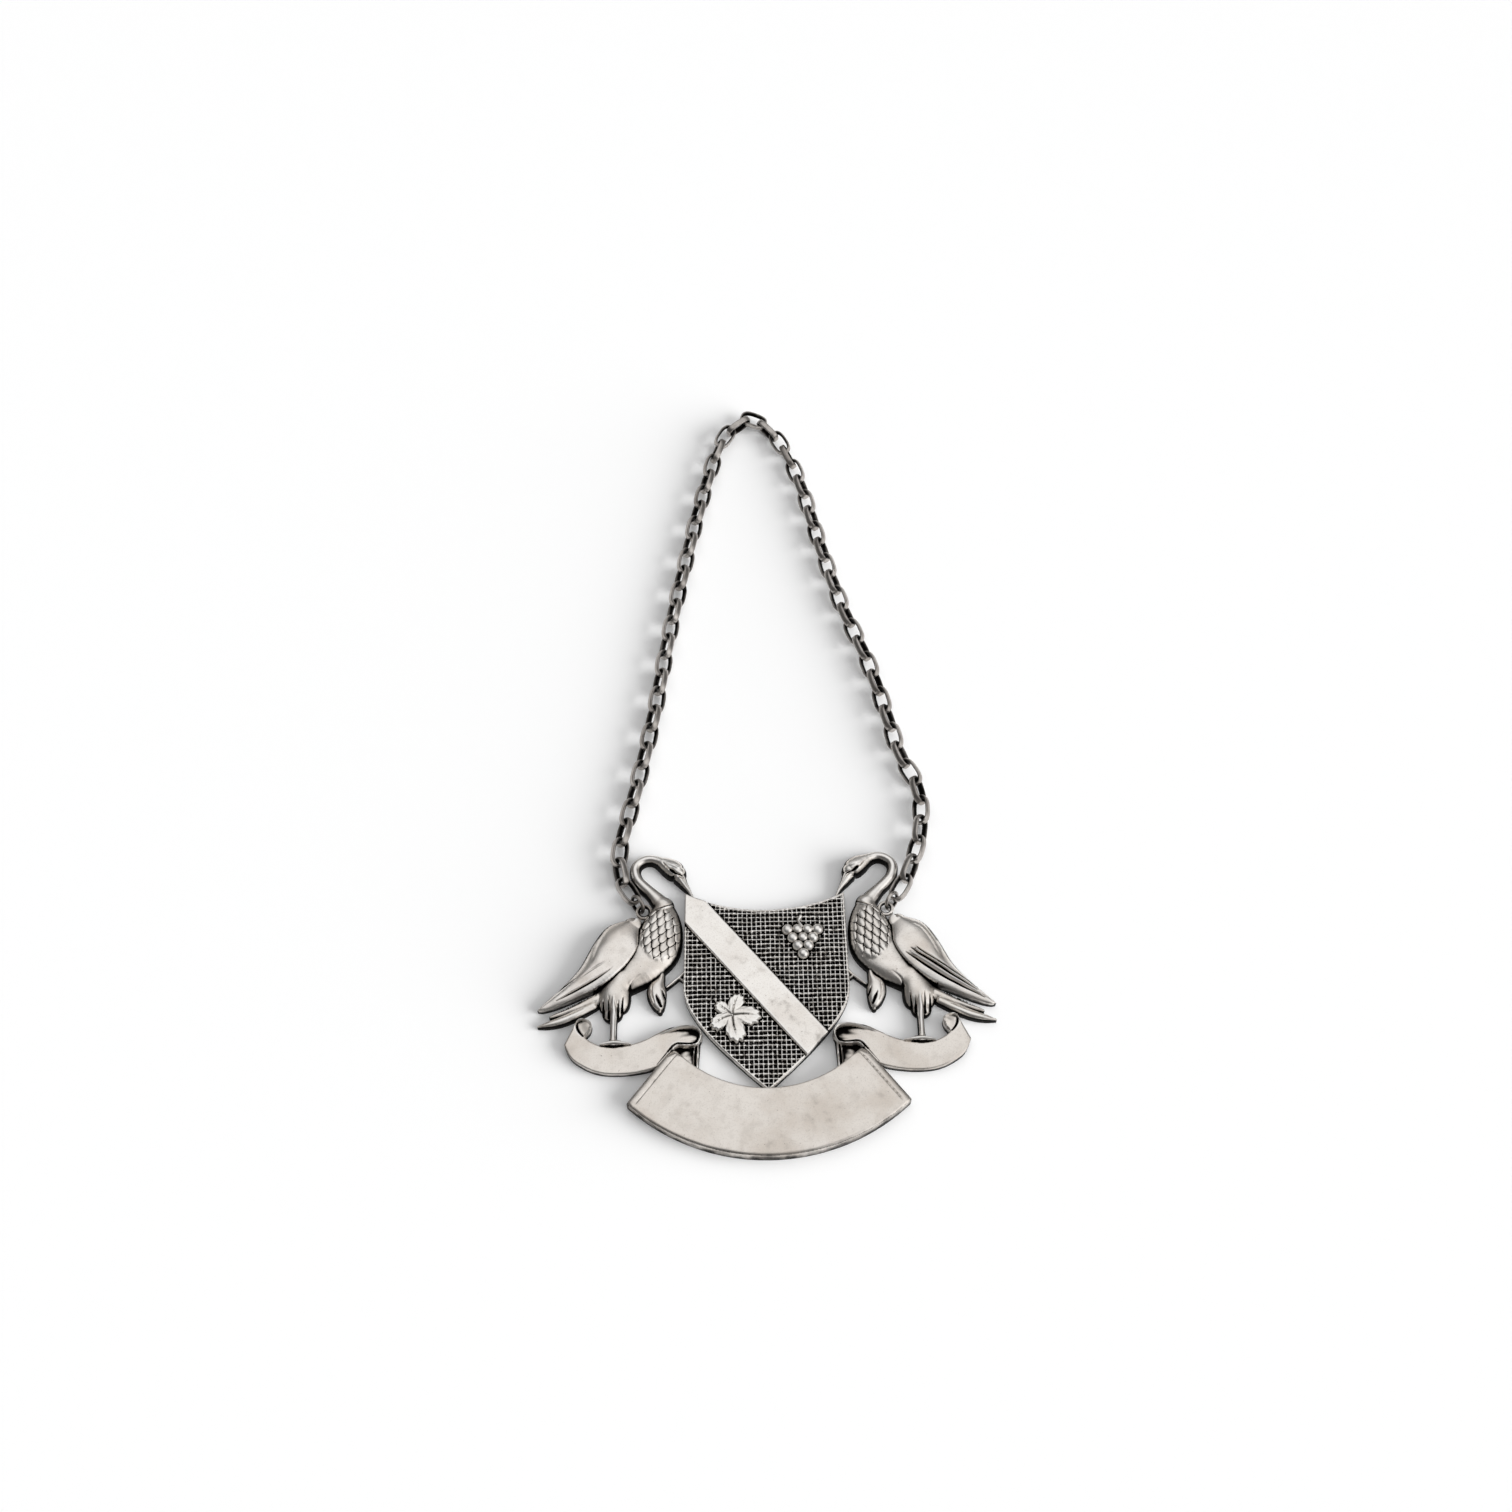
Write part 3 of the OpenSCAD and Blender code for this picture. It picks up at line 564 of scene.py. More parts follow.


# tail scrolls: ribbon, fold, under layer darkened with painted shade and rolled end, drawn from the banner's
# upper end

scrollLook = {  # strokes are x, y, half width, then height, depth or painted shade
    "upper": [(-3.85, 1.75), (-3.4, 2.8), (-2.3, 3.15), (0.3, 3.05), (4.1, 1.2), (8.2, 0.42), (10.8, 1.15),
              (12.1, 2.3), (13.0, 3.75)],
    "lower": [(14.4, 0.8), (13.2, -1.25), (10.1, -2.95), (6.3, -3.25), (2.3, -2.5), (0.4, -0.6), (-0.6, 0.25),
              (-2.4, 0.35), (-3.4, 0.7)],
    "under": [(-3.65, 1.2), (-3.3, -3.4), (0.0, -3.4), (0.8, 0.0)],
    "thick": 1.3, "underThick": 0.6, "pitch": 0.08, "edgeRound": 0.28, "edgeDrop": 0.2,
    "waveRise": 0.13, "waveFrom": 1.5, "waveLength": 11.5, "foldSink": 0.6, "curlBase": 1.3, "curlRise": 0.4,
    "rim": [(3.4, 1.4, 0.14, 1.25), (2.37, 1.83, 0.16, 1.35), (0.48, 2.55, 0.2, 1.6),
            (-0.74, 2.95, 0.22, 1.8), (-1.88, 3.06, 0.23, 1.9), (-2.93, 2.9, 0.22, 1.95),
            (-3.45, 2.5, 0.21, 1.95), (-3.68, 1.92, 0.2, 1.9), (-3.58, 1.25, 0.2, 1.8),
            (-3.3, 0.7, 0.18, 1.7)],
    "lip": [(0.25, -0.5, 0.14, 1.7), (0.0, -0.1, 0.18, 1.8), (-0.3, 0.22, 0.2, 1.85), (-0.8, 0.42, 0.2, 1.85),
            (-1.9, 0.36, 0.18, 1.8), (-2.93, 0.5, 0.18, 1.75), (-3.3, 0.75, 0.16, 1.7)],
    "outerEdge": [(-3.3, 0.8, 0.16, 1.6), (-3.3, -0.2, 0.14, 1.25), (-3.25, -1.0, 0.14, 1.2),
                  (-3.15, -3.3, 0.14, 1.1)],
    "innerEdge": [(-2.9, 0.5, 0.1, 1.5), (-2.78, -0.3, 0.1, 1.1), (-2.74, -1.0, 0.1, 1.05),
                  (-2.7, -3.2, 0.1, 1.0)],
    "crevice": [(-3.42, 1.6, 0.14, 0.5), (-2.9, 1.06, 0.2, 0.8), (-1.87, 0.82, 0.2, 0.8),
                (-0.75, 0.86, 0.2, 0.8), (0.02, 0.46, 0.16, 0.7), (0.7, -0.35, 0.12, 0.4)],
    "curl": [(12.72, 3.95), (12.25, 4.3), (11.6, 4.25), (11.1, 4.0), (10.83, 3.55), (10.95, 2.75),
             (11.3, 2.2), (11.8, 1.85), (12.45, 2.5), (12.74, 3.2), (12.72, 3.95)],
    "curlRim": [(13.3, 2.8, 0.1, 1.35), (13.0, 3.6, 0.13, 1.6), (12.65, 4.1, 0.14, 1.85),
                (12.1, 4.22, 0.13, 1.95), (11.3, 4.0, 0.13, 1.95), (10.98, 3.5, 0.13, 1.95),
                (11.08, 2.8, 0.12, 1.9), (11.4, 2.3, 0.11, 1.75), (11.8, 1.98, 0.1, 1.55)],
    "curlGap": [(12.72, 3.8, 0.12, 0.4), (12.74, 3.2, 0.18, 0.7), (12.45, 2.58, 0.18, 0.7),
                (11.95, 1.98, 0.12, 0.5)],
    # painted shade: over the under layer, in the crevice below the fold, on the face as it dips under the
    # fold, inside the turn, below the lip, between the end's two edges and in the gap by the rolled end
    "underShade": 0.07,
    "creviceShade": [(-3.42, 1.6, 0.12, 0.25), (-2.9, 1.06, 0.18, 0.4), (-1.87, 0.82, 0.18, 0.4),
                    (-0.75, 0.86, 0.18, 0.4), (0.02, 0.46, 0.15, 0.35), (0.7, -0.35, 0.13, 0.3),
                    (1.35, -1.2, 0.12, 0.25), (2.1, -2.15, 0.1, 0.2)],
    "faceShade": [(-3.3, 2.2, 0.4, 0.14), (-2.5, 2.3, 0.45, 0.14), (-1.7, 2.0, 0.45, 0.11),
                 (-0.7, 1.75, 0.4, 0.07), (0.6, 1.4, 0.3, 0.02)],
    "turnShade": [(-3.4, 1.9, 0.25, 0.25), (-3.1, 1.35, 0.3, 0.25), (-2.2, 1.2, 0.3, 0.12),
                 (-1.0, 1.25, 0.3, 0.05)],
    "lipShade": [(-0.4, 0.0, 0.3, 0.13), (-1.5, 0.02, 0.3, 0.14), (-2.6, 0.1, 0.3, 0.13)],
    "edgeShade": [(-3.0, 0.3, 0.12, 0.12), (-3.0, -1.2, 0.12, 0.12), (-2.95, -3.2, 0.1, 0.1)],
    "curlShade": [(12.72, 3.85, 0.1, 0.3), (12.74, 3.2, 0.16, 0.4), (12.45, 2.55, 0.16, 0.4),
                 (11.9, 1.95, 0.12, 0.35)],
}


def scrollPlan():
    return np.vstack([smoothLine(scrollLook["upper"]), smoothLine(scrollLook["lower"])])


def scrollShape(x, y):
    k = scrollLook
    outside = np.minimum(-bannerInside(x, y), -outlineDepth(x, y, shieldOutline()))
    x, y = x - bannerEnd[0], y - bannerEnd[1]
    ribbon = outlineDepth(x, y, scrollPlan())
    under = outlineDepth(x, y, np.array(k["under"]))
    sunk = ramp(-x, -1.2, 3.2)  # the face dips in under the fold
    wave = k["waveRise"] * np.cos(2 * math.pi * (x - k["waveFrom"]) / k["waveLength"]) * ramp(x, 0, 4)
    face = k["thick"] + wave - k["foldSink"] * sunk - quarterRound(ribbon, k["edgeRound"], k["edgeDrop"])
    face = face + 0.015 * wander(x, y, 2.0, 8)
    shade = np.where(under > -overlap, k["underThick"] + 0.05 * wander(x, y, 1.2, 3), 0.1)
    z = np.where(ribbon > -overlap, np.maximum(face, 0.45), shade)
    z = np.maximum(z - groove(x, y, k["crevice"]), 0.3)
    edge = np.maximum(ribbon, under)
    curled = outlineDepth(x, y, smoothLine(k["curl"])[:-1])
    away = nearestOn(x, y, smoothLine(k["curlGap"]))[0]
    curl = k["curlBase"] + k["curlRise"] * ramp(away, 0.1, 1.8)
    z = np.where(curled > -overlap, np.maximum(z, curl), z)
    edge = np.maximum(edge, curled)
    for stroke, rims, soft in (("rim", 0.6, 0.1), ("lip", 0.65, 0.0), ("outerEdge", 0.6, 0.0),
                               ("innerEdge", 0.6, 0.0), ("curlRim", 0.6, 0.1)):
        h, e = form(x, y, k[stroke], (rims, rims))
        z, edge = merged(z, h, soft), np.maximum(edge, e)
    z = z - groove(x, y, k["curlGap"])
    # painted shade over the under layer and along the strokes below
    paintedShade = np.where((under > 0) & (ribbon < 0), k["underShade"], 0.0)
    for stroke in ("creviceShade", "faceShade", "turnShade", "lipShade", "edgeShade", "curlShade"):
        paintedShade = np.maximum(paintedShade, groove(x, y, k[stroke]))
    return np.maximum(z, 0.25), np.minimum(edge, outside), paintedShade


# swans in low relief, drawn from the shield's upper corner

swanLook = {  # strokes are x, y, half width, height
    "pitch": 0.08,
    "body": [(2.9, -1.6, 1.4, 2.0), (3.0, -3.2, 2.3, 2.3), (3.3, -5.3, 3.05, 2.45), (4.1, -7.9, 3.5, 2.5),
             (5.8, -10.5, 2.85, 2.5), (8.2, -12.65, 2.05, 2.2), (10.3, -14.3, 1.4, 1.6),
             (12.2, -15.5, 1.0, 1.1)],
    "neck": [(2.9, -1.75, 1.4, 2.0), (4.6, 0.3, 0.92, 1.8), (5.75, 1.45, 0.85, 1.7), (6.6, 2.5, 0.8, 1.65),
             (7.0, 3.85, 0.78, 1.6), (6.7, 4.85, 0.73, 1.6), (5.85, 5.5, 0.7, 1.6), (4.8, 5.68, 0.72, 1.65),
             (3.9, 5.4, 0.76, 1.75), (3.2, 5.0, 0.9, 1.9)],
    "head": [(3.6, 5.25, 0.85, 1.75), (2.9, 4.85, 1.15, 2.05), (1.95, 4.25, 1.4, 2.25),
             (1.25, 3.75, 1.36, 2.2), (0.95, 3.5, 1.1, 2.05)],
    "beak": [(0.85, 2.75, 0.85, 1.85), (0.5, 2.25, 0.74, 1.75), (0.2, 1.75, 0.6, 1.6), (-0.3, 1.03, 0.4, 1.4),
             (-0.75, 0.3, 0.26, 1.2), (-1.1, -0.5, 0.2, 1.1)],
    "wing": [(7.3, -4.5, 1.3, 2.1), (8.6, -6.2, 2.65, 2.75), (9.9, -8.45, 2.93, 2.95),
             (11.55, -10.8, 2.55, 2.85), (13.3, -12.5, 1.95, 2.5), (15.5, -14.15, 1.33, 2.1),
             (17.5, -15.45, 0.9, 1.7), (19.0, -16.3, 0.48, 1.35), (19.6, -16.55, 0.15, 1.1)],
    "upperTail": [(11.6, -14.9, 0.7, 1.3), (14.0, -16.05, 0.6, 1.25), (16.2, -16.95, 0.45, 1.15),
                  (17.9, -17.6, 0.22, 1.0)],
    "lowerTail": [(12.3, -16.1, 0.62, 1.35), (14.5, -17.3, 0.64, 1.5), (16.6, -18.2, 0.6, 1.4),
                  (18.3, -18.65, 0.42, 1.2), (19.5, -18.85, 0.18, 0.9)],
    "thigh": [(8.5, -12.4, 1.5, 2.35), (9.2, -14.2, 2.05, 2.3), (9.5, -15.6, 2.15, 2.0),
              (9.65, -16.5, 1.9, 1.6), (9.7, -17.0, 1.4, 1.2)],
    "leg": [(9.5, -15.2, 0.42, 2.15), (9.5, -16.6, 0.46, 2.0), (9.5, -17.8, 0.46, 1.6),
            (9.5, -19.4, 0.44, 1.5), (9.5, -20.6, 0.47, 1.45), (9.48, -21.1, 0.62, 1.45),
            (9.4, -21.4, 1.1, 1.45)],
    "raisedFoot": [(3.1, -11.5, 0.45, 1.4), (3.2, -12.4, 0.55, 1.5), (3.7, -13.5, 1.2, 1.65),
                   (3.8, -14.5, 1.35, 1.7), (3.6, -15.7, 1.1, 1.6), (3.4, -16.6, 0.7, 1.4),
                   (3.35, -17.0, 0.35, 1.1)],
    "tie": [(2.7, -13.7, 0.26, 1.0), (1.5, -12.7, 0.25, 1.0), (0.5, -11.8, 0.25, 0.95),
            (-0.2, -10.8, 0.25, 0.9)],
    "tieBranch": [(0.8, -12.15, 0.2, 0.95), (0.3, -12.5, 0.18, 0.85), (-0.2, -12.7, 0.15, 0.75)],
    "footX": (7.2, 8.8, 10.0, 11.1), "footY": (-21.7, -21.45, -21.45, -21.7),
    "footHalf": (0.144, 0.24, 0.24, 0.144), "footRise": 1.6,
    "footGap": 0.3, "webDrop": 0.28, "webHalf": 0.34, "webRise": 0.5,
    # cuts, with a depth in place of the height; one below zero stands up
    "tailLine": [(13.6, -16.6, 0.08, 0.1), (15.0, -17.25, 0.12, 0.25), (16.6, -17.85, 0.1, 0.2),
                 (18.4, -18.45, 0.06, 0.1)],
    "wingHollow": [(10.3, -4.9, 0.4, 0.02), (11.5, -6.4, 0.5, 0.1), (12.2, -8.2, 0.5, 0.1),
                   (12.6, -10.2, 0.4, 0.03)],
    "wingFold": [(9.2, -5.2, 0.3, 0.04), (10.3, -5.7, 0.38, 0.14), (11.2, -6.9, 0.42, 0.17),
                 (11.8, -8.1, 0.4, 0.13), (12.2, -9.4, 0.36, 0.04)],
    "toes": [(4.4, -13.4, 0.1, 0.05), (4.45, -14.6, 0.14, 0.16), (4.1, -15.9, 0.1, 0.1)],
    "sole": [(3.85, -14.9, 0.12, 0.2), (3.55, -15.6, 0.28, 0.6), (3.2, -16.4, 0.22, 0.5)],
    "heel": [(3.1, -14.1, 0.1, 0.1), (2.85, -14.8, 0.18, 0.4), (2.65, -15.4, 0.12, 0.2)],
    "collar": [(1.5, -1.7, 0.15, -0.12), (2.3, -2.15, 0.19, -0.24), (3.1, -2.52, 0.19, -0.24),
               (3.9, -2.75, 0.15, -0.12)],
    "collarLine": [(1.7, -1.42, 0.1, 0.12), (2.2, -1.8, 0.12, 0.26), (2.95, -2.16, 0.12, 0.26),
                   (3.95, -2.42, 0.1, 0.14)],
    "eye": [(2.15, 3.72, 0.1, 0.2), (1.95, 3.55, 0.24, 0.6), (1.6, 3.3, 0.26, 0.7), (1.3, 3.1, 0.16, 0.4),
            (1.0, 2.98, 0.13, 0.35), (0.65, 2.85, 0.16, 0.45), (0.4, 2.7, 0.1, 0.2)],
    "eyeball": [(1.85, 3.48, 0.12, -0.2), (1.7, 3.38, 0.12, -0.2)],
    "nostril": [(0.95, 2.72, 0.1, 0.16), (0.65, 2.52, 0.13, 0.28), (0.3, 2.15, 0.08, 0.12),
                (-0.3, 1.1, 0.05, 0.06)],
    "cheek": [(3.15, 4.8, 0.08, 0.05), (2.75, 4.25, 0.11, 0.18), (2.4, 3.8, 0.11, 0.2),
              (2.15, 3.6, 0.08, 0.1)],
    "chin": [(1.75, 2.6, 0.06, 0.05), (1.3, 2.5, 0.1, 0.16), (0.9, 2.3, 0.08, 0.06)],
    "brow": [(2.4, 4.6, 0.3, -0.04), (1.5, 4.1, 0.35, -0.14), (0.7, 3.75, 0.25, -0.08)],
    "bellyFold": [(6.0, -12.2, 0.2, 0.02), (7.0, -13.1, 0.25, 0.1), (7.5, -14.2, 0.2, 0.08)],
    "fringe": [((11.3, -15.4), (11.75, -17.2), 0.2, 0.9), ((10.85, -15.2), (10.9, -17.5), 0.26, 1.0),
               ((10.15, -15.0), (10.15, -17.8), 0.2, 0.9), ((8.85, -15.7), (8.95, -17.6), 0.24, 1.0),
               ((8.2, -15.0), (8.4, -16.9), 0.22, 0.9)],  # from, to, half width, depth
    # depth and line of each groove in a wing, and the ridges between those on the right
    "leftQuills": [
        (0.34, [(9.4, -11.1), (10.8, -12.1), (12.2, -13.0), (13.8, -13.9), (15.4, -14.7), (17.2, -15.6)]),
        (0.1, [(10.3, -10.2), (11.0, -10.65), (11.8, -11.1), (12.6, -11.6), (13.2, -12.0), (13.8, -12.4)]),
        (0.2, [(14.4, -12.5), (15.1, -12.85), (15.8, -13.25), (16.5, -13.7), (17.1, -14.1), (17.7, -14.5)]),
    ],
    "rightQuills": [
        (0.5, [(9.3, -8.9), (10.4, -9.9), (12.4, -11.2), (14.4, -12.5), (16.3, -13.7), (17.7, -14.6)]),
        (0.55, [(8.5, -9.0), (9.6, -9.9), (11.4, -11.1), (13.4, -12.5), (15.3, -13.7), (17.3, -14.9)]),
        (0.6, [(7.8, -9.6), (9.0, -10.5), (10.7, -11.8), (12.9, -13.2), (15.4, -14.55), (18.2, -15.9)]),
    ],
    "quillSwell": (0.15, 0.7, 1.0, 1.0, 0.8, 0.3), "quillHalf": 0.22, "quillShadeHalf": 0.14, "quillShade": 0.5,
    "ridgeSwell": (0.1, 0.7, 1.0, 1.0, 0.8, 0.3), "ridgeHalf": 0.36, "ridgeRise": 0.28,
    # painted shade under the wing, beside the thigh, above the leg and in the toe gaps, with how dark it is
    # in place of the height
    "underWing": [(7.6, -9.9, 0.12, 0.1), (9.2, -12.0, 0.26, 0.35), (10.9, -13.2, 0.38, 0.45),
                  (12.6, -14.3, 0.58, 0.5), (14.6, -15.3, 0.8, 0.55), (16.6, -16.25, 0.75, 0.55),
                  (18.6, -16.9, 0.35, 0.4)],
    "besideThigh": [(7.35, -13.4, 0.1, 0.05), (7.25, -14.3, 0.22, 0.35), (7.35, -15.2, 0.16, 0.2)],
    "aboveLeg": [(9.75, -17.6, 0.12, 0.12), (9.3, -17.8, 0.14, 0.16)],
    "soleShade": [(3.85, -14.9, 0.08, 0.1), (3.55, -15.6, 0.26, 0.45), (3.2, -16.4, 0.2, 0.4)],
    "heelShade": [(3.1, -14.1, 0.06, 0.05), (2.85, -14.8, 0.16, 0.3), (2.65, -15.4, 0.1, 0.15)],
    # small feathers on the breast
    "plumeAt": (3.4, -6.3), "plumeReach": (2.9, 4.3), "plumeSink": 0.28, "plumeShade": 0.3,
    "featherSize": 1.1, "featherLift": 0.5, "featherLean": (0.92, 0.39), "featherApart": 1.1,
    "featherLong": 1.75, "featherWide": 0.62, "featherTilt": 0.6, "featherDome": 0.75,
    "featherLine": (0.72, 0.98),
}


def scales(x, y):  # rows of small overlapping feathers and a line of painted shade round each
    k = swanLook
    size, apart = k["featherSize"], k["featherApart"]
    long, wide = k["featherLong"] * size, k["featherWide"] * size
    down, aside = k["featherLean"]
    along = x * aside - y * down
    across = x * down + y * aside
    top, line = np.zeros(x.shape), np.zeros(x.shape)
    taken = np.zeros(x.shape, bool)
    first = np.floor(along / size).astype(int)
    for back in (2, 1, 0):
        row = first - back
        shift = 0.5 * (row % 2)
        col = np.round(across / (apart * size) - shift)
        da = along - row * size
        db = across - (col + shift) * apart * size
        reach = (da / long) ** 2 + (db / wide) ** 2
        here = (reach < 1) & ~taken
        tilt = k["featherTilt"] * da / long + k["featherDome"] * np.sqrt(np.maximum(1 - reach, 0))
        top[here] = tilt[here]
        line[here] = ramp(reach, *k["featherLine"])[here]
        taken |= reach < 1
    return k["featherLift"] * top, line


def swanShape(x, y, side):
    k = swanLook
    shieldIn = outlineDepth(x, y, shieldOutline())
    scrollIn = outlineDepth(x - bannerEnd[0], y - bannerEnd[1], scrollPlan())
    x, y = x - corner[0], y - corner[1]
    z, edge = form(x, y, k["body"], rim=(0.3, 0.3))
    (plumeX, plumeY), (reachX, reachY) = k["plumeAt"], k["plumeReach"]
    plume = ramp(1 - np.hypot((x - plumeX) / reachX, (y - plumeY) / reachY), 0.0, 0.2)
    feathers, line = scales(x, y)
    z = np.where(z > 0, z + plume * (feathers - k["plumeSink"]), z)
    # painted shade along the edge of each small feather on the breast
    paintedShade = k["plumeShade"] * plume * line

    def add(stations, rim=(0.3, 0.3), soft=0.0, crown=0.5):
        nonlocal z, edge
        h, e = form(x, y, stations, rim, crown)
        z, edge = merged(z, h, soft), np.maximum(edge, e)
        return e

    def carve(stations):
        nonlocal z
        z = z - np.where(z > 0, groove(x, y, stations), 0)

    def paintShade(stations):
        nonlocal paintedShade
        paintedShade = np.maximum(paintedShade, groove(x, y, stations))

    add(k["neck"], soft=0.4)
    add(k["head"], soft=0.2)
    add(k["beak"], rim=(0.4, 0.4), soft=0.1)
    add(k["upperTail"], rim=(0.7, 0.45))
    add(k["lowerTail"], rim=(0.65, 0.5))
    carve(k["tailLine"])
    add(k["raisedFoot"], rim=(0.45, 0.45))
    add(k["tie"])
    add(k["tieBranch"])
    add(k["thigh"], soft=0.3)
    for a, b, w, depth in k["fringe"]:  # feathers above the leg
        m = ((a[0] + b[0]) / 2, (a[1] + b[1]) / 2)
        carve([(*a, 0.06, 0.04), (*m, 0.6 * w, 0.45 * depth), (*b, w, depth)])
        # painted shade in the gap between the feathers
        paintShade([(*a, 0.05, 0.02), (*m, 0.6 * w, 0.22), (*b, w, 0.4)])
    add(k["leg"], rim=(0.45, 0.45), soft=0.08)
    # painted shade beside the thigh and above the leg
    paintShade(k["besideThigh"])
    paintShade(k["aboveLeg"])
    wingIn = add(k["wing"], rim=(0.3, 0.84), crown=0.6)
    # painted shadow under the wing's lower edge, where the body is also cut lower
    under = groove(x, y, k["underWing"])
    paintedShade = np.maximum(paintedShade, np.where(wingIn < 0, under, 0))
    z = np.where((wingIn < 0) & (edge > 0), np.maximum(z - 1.4 * under, 0.4), z)
    for depth, line in k[side + "Quills"]:
        swelling = list(zip(line, k["quillSwell"]))
        carve([(*at, k["quillHalf"] * w, depth * w) for at, w in swelling])
        # painted shade along each groove
        paintShade([(*at, k["quillShadeHalf"] * w, k["quillShade"] * depth * w) for at, w in swelling])
    if side == "right":  # each long feather swells between its grooves
        lines = [np.array(line) for _, line in k["rightQuills"]]
        for a, b in zip(lines[:-1], lines[1:]):
            between = zip((a + b) / 2, k["ridgeSwell"])
            carve([(*at, k["ridgeHalf"] * w, -k["ridgeRise"] * w) for at, w in between])
        carve(k["wingFold"])
    carve(k["wingHollow"])
    lowest = min(k["footY"])
    paintShade([(f, lowest - k["footGap"], k["footGap"], 0.5) for f in k["footX"]])  # dark painted shade in the gap below the foot
    add([(f, lowest - k["webDrop"], k["webHalf"], k["webRise"]) for f in k["footX"][1:]], rim=(0.9, 0.9))
    add([(*f, k["footRise"]) for f in zip(k["footX"], k["footY"], k["footHalf"])], rim=(0.82, 0.82))
    for cut in ("toes", "sole", "heel", "collar", "collarLine", "eye", "eyeball", "nostril", "cheek", "chin",
                "brow", "bellyFold"):
        carve(k[cut])
    # painted shade in the toe gaps and in the eye's hollow
    paintShade(k["soleShade"])
    paintShade(k["heelShade"])
    paintShade(k["eye"])
    z = z + 0.014 * wander(x, y, 1.6, 21) + 0.02 * wander(x, y, 3.2, 22)
    edge = np.minimum(edge, -shieldIn)
    edge = np.where((scrollIn > 0) & (z < scrollLook["thick"] + 0.1), np.minimum(edge, -scrollIn), edge)
    return np.maximum(z, 0.3), edge, paintedShade


for side, sign in (("left", -1), ("right", 1)):
    scroll = castRelief(side + "Scroll", side + "_scroll", scrollLook["pitch"],
                        lambda x, y: scrollShape(sign * x, y))
    dress(scroll, plateSilver, "label", "cast_silver", side + "_scroll")
    swan = castRelief(side + "Swan", side + "_swan", swanLook["pitch"],
                      lambda x, y: swanShape(sign * x, y, side))
    dress(swan, castSilver, "label", "cast_silver", side + "_swan")
    print(side, "scroll and swan cast:", len(swan.data.polygons), "faces")


# wire: eyelets, jump rings and the links of the chain, each set where its solid is

wireLook = {  # half length and half width of the wire's middle line, how square the oval is, wire, section
    "link": ((2.04, 1.06), 2.8, (0.48, 0.93), (0.1, 0.75, 1.3)),
    "ring": ((1.21, 1.21), 2.0, (0.5, 0.5), (0.0, 1.0, 1.0)),
    "eyelet": ((0.875, 0.875), 2.0, (0.55, 0.55), (0.0, 1.0, 1.0)),
    # painted shade with patina on the wire: a base level, lighter on the outer face, more inside the loop and
    # at its ends
    "ringGap": 1.6, "paintedShade": 0.09, "insideShade": 0.2, "endShade": 0.1, "sharpFrom": 60.0,
}


def solidFrames(node, parts):  # middle and axes (long, wide, thin) of each solid in a node
    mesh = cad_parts[node].data
    mesh.calc_loop_triangles()
    co = np.array([v.co[:] for v in mesh.vertices]) / mm
    tris = np.array([t.vertices[:] for t in mesh.loop_triangles])
    corners = co[tris]
    middle = corners.mean(1)
    groups = [np.ones(len(tris), bool)]
    if parts == 2:
        split = (middle[:, 0].min() + middle[:, 0].max()) / 2
        groups = [middle[:, 0] < split, middle[:, 0] >= split]
    frames = []
    for g in groups:
        p = corners[g]
        area = np.linalg.norm(np.cross(p[:, 1] - p[:, 0], p[:, 2] - p[:, 0]), axis=1) / 2
        centre = (p.mean(1) * area[:, None]).sum(0) / area.sum()
        p = p - centre
        total = p.sum(1)
        spread = np.einsum("n,nki,nkj->ij", area, p, p) + np.einsum("n,ni,nj->ij", area, total, total)
        axes = np.linalg.eigh(spread)[1][:, ::-1]
        axes[:, 2] = np.cross(axes[:, 0], axes[:, 1])
        frames.append((centre, axes))
    return frames


def wireLoop(half, power, wire, section, gap=0.0, count=84, sides=18):
    # a loop of wire bent to an oval: points, faces and the shade painted on each point
    u = np.radians(np.linspace(gap / 2, 360 - gap / 2, 2401))
    c, s = np.cos(u), np.sin(u)
    path = np.stack([h * np.sign(v) * np.abs(v) ** (2 / power) for h, v in zip(half, (c, s))], 1)
    run = np.r_[0, np.cumsum(np.hypot(*np.diff(path, axis=0).T))]
    at = np.linspace(0, run[-1], count, endpoint=gap > 0)
    path = np.stack([np.interp(at, run, path[:, n]) for n in (0, 1)], 1)
    out = np.sign(path) * np.abs(path / half) ** (power - 1) / half
    out /= np.hypot(*out.T)[:, None]
    points, dark = [], []
    swell, outer, inner = section
    for n in range(sides):
        c, s = math.cos(2 * math.pi * n / sides), math.sin(2 * math.pi * n / sides)
        r = swell + (wire[0] / 2 - swell if c > 0 else wire[0] / 2 + swell) * c
        d = wire[1] / 2 * np.sign(s) * abs(s) ** (outer if c > 0 else inner)
        points.append(np.concatenate([path + r * out, np.full((count, 1), d)], 1))
        # painted shade and patina: sides darker, the inside and its ends darkest; the outer face lighter, a
        # painted highlight with polish
        inside = wireLook["insideShade"] + wireLook["endShade"] * np.abs(out[:, 0]) ** 4
        dark.append(wireLook["paintedShade"] + max(0.0, -c) * inside - wireLook["paintedShade"] * max(0.0, c))
    faces = []
    for n in range(sides):
        for m in range(count - 1 if gap else count):
            a, b = n * count, (n + 1) % sides * count
            faces.append((a + m, a + (m + 1) % count, b + (m + 1) % count, b + m))
    if gap:
        faces.append(tuple(n * count for n in range(sides)))
        faces.append(tuple(n * count + count - 1 for n in range(sides - 1, -1, -1)))
    return np.concatenate(points), faces, np.concatenate(dark)


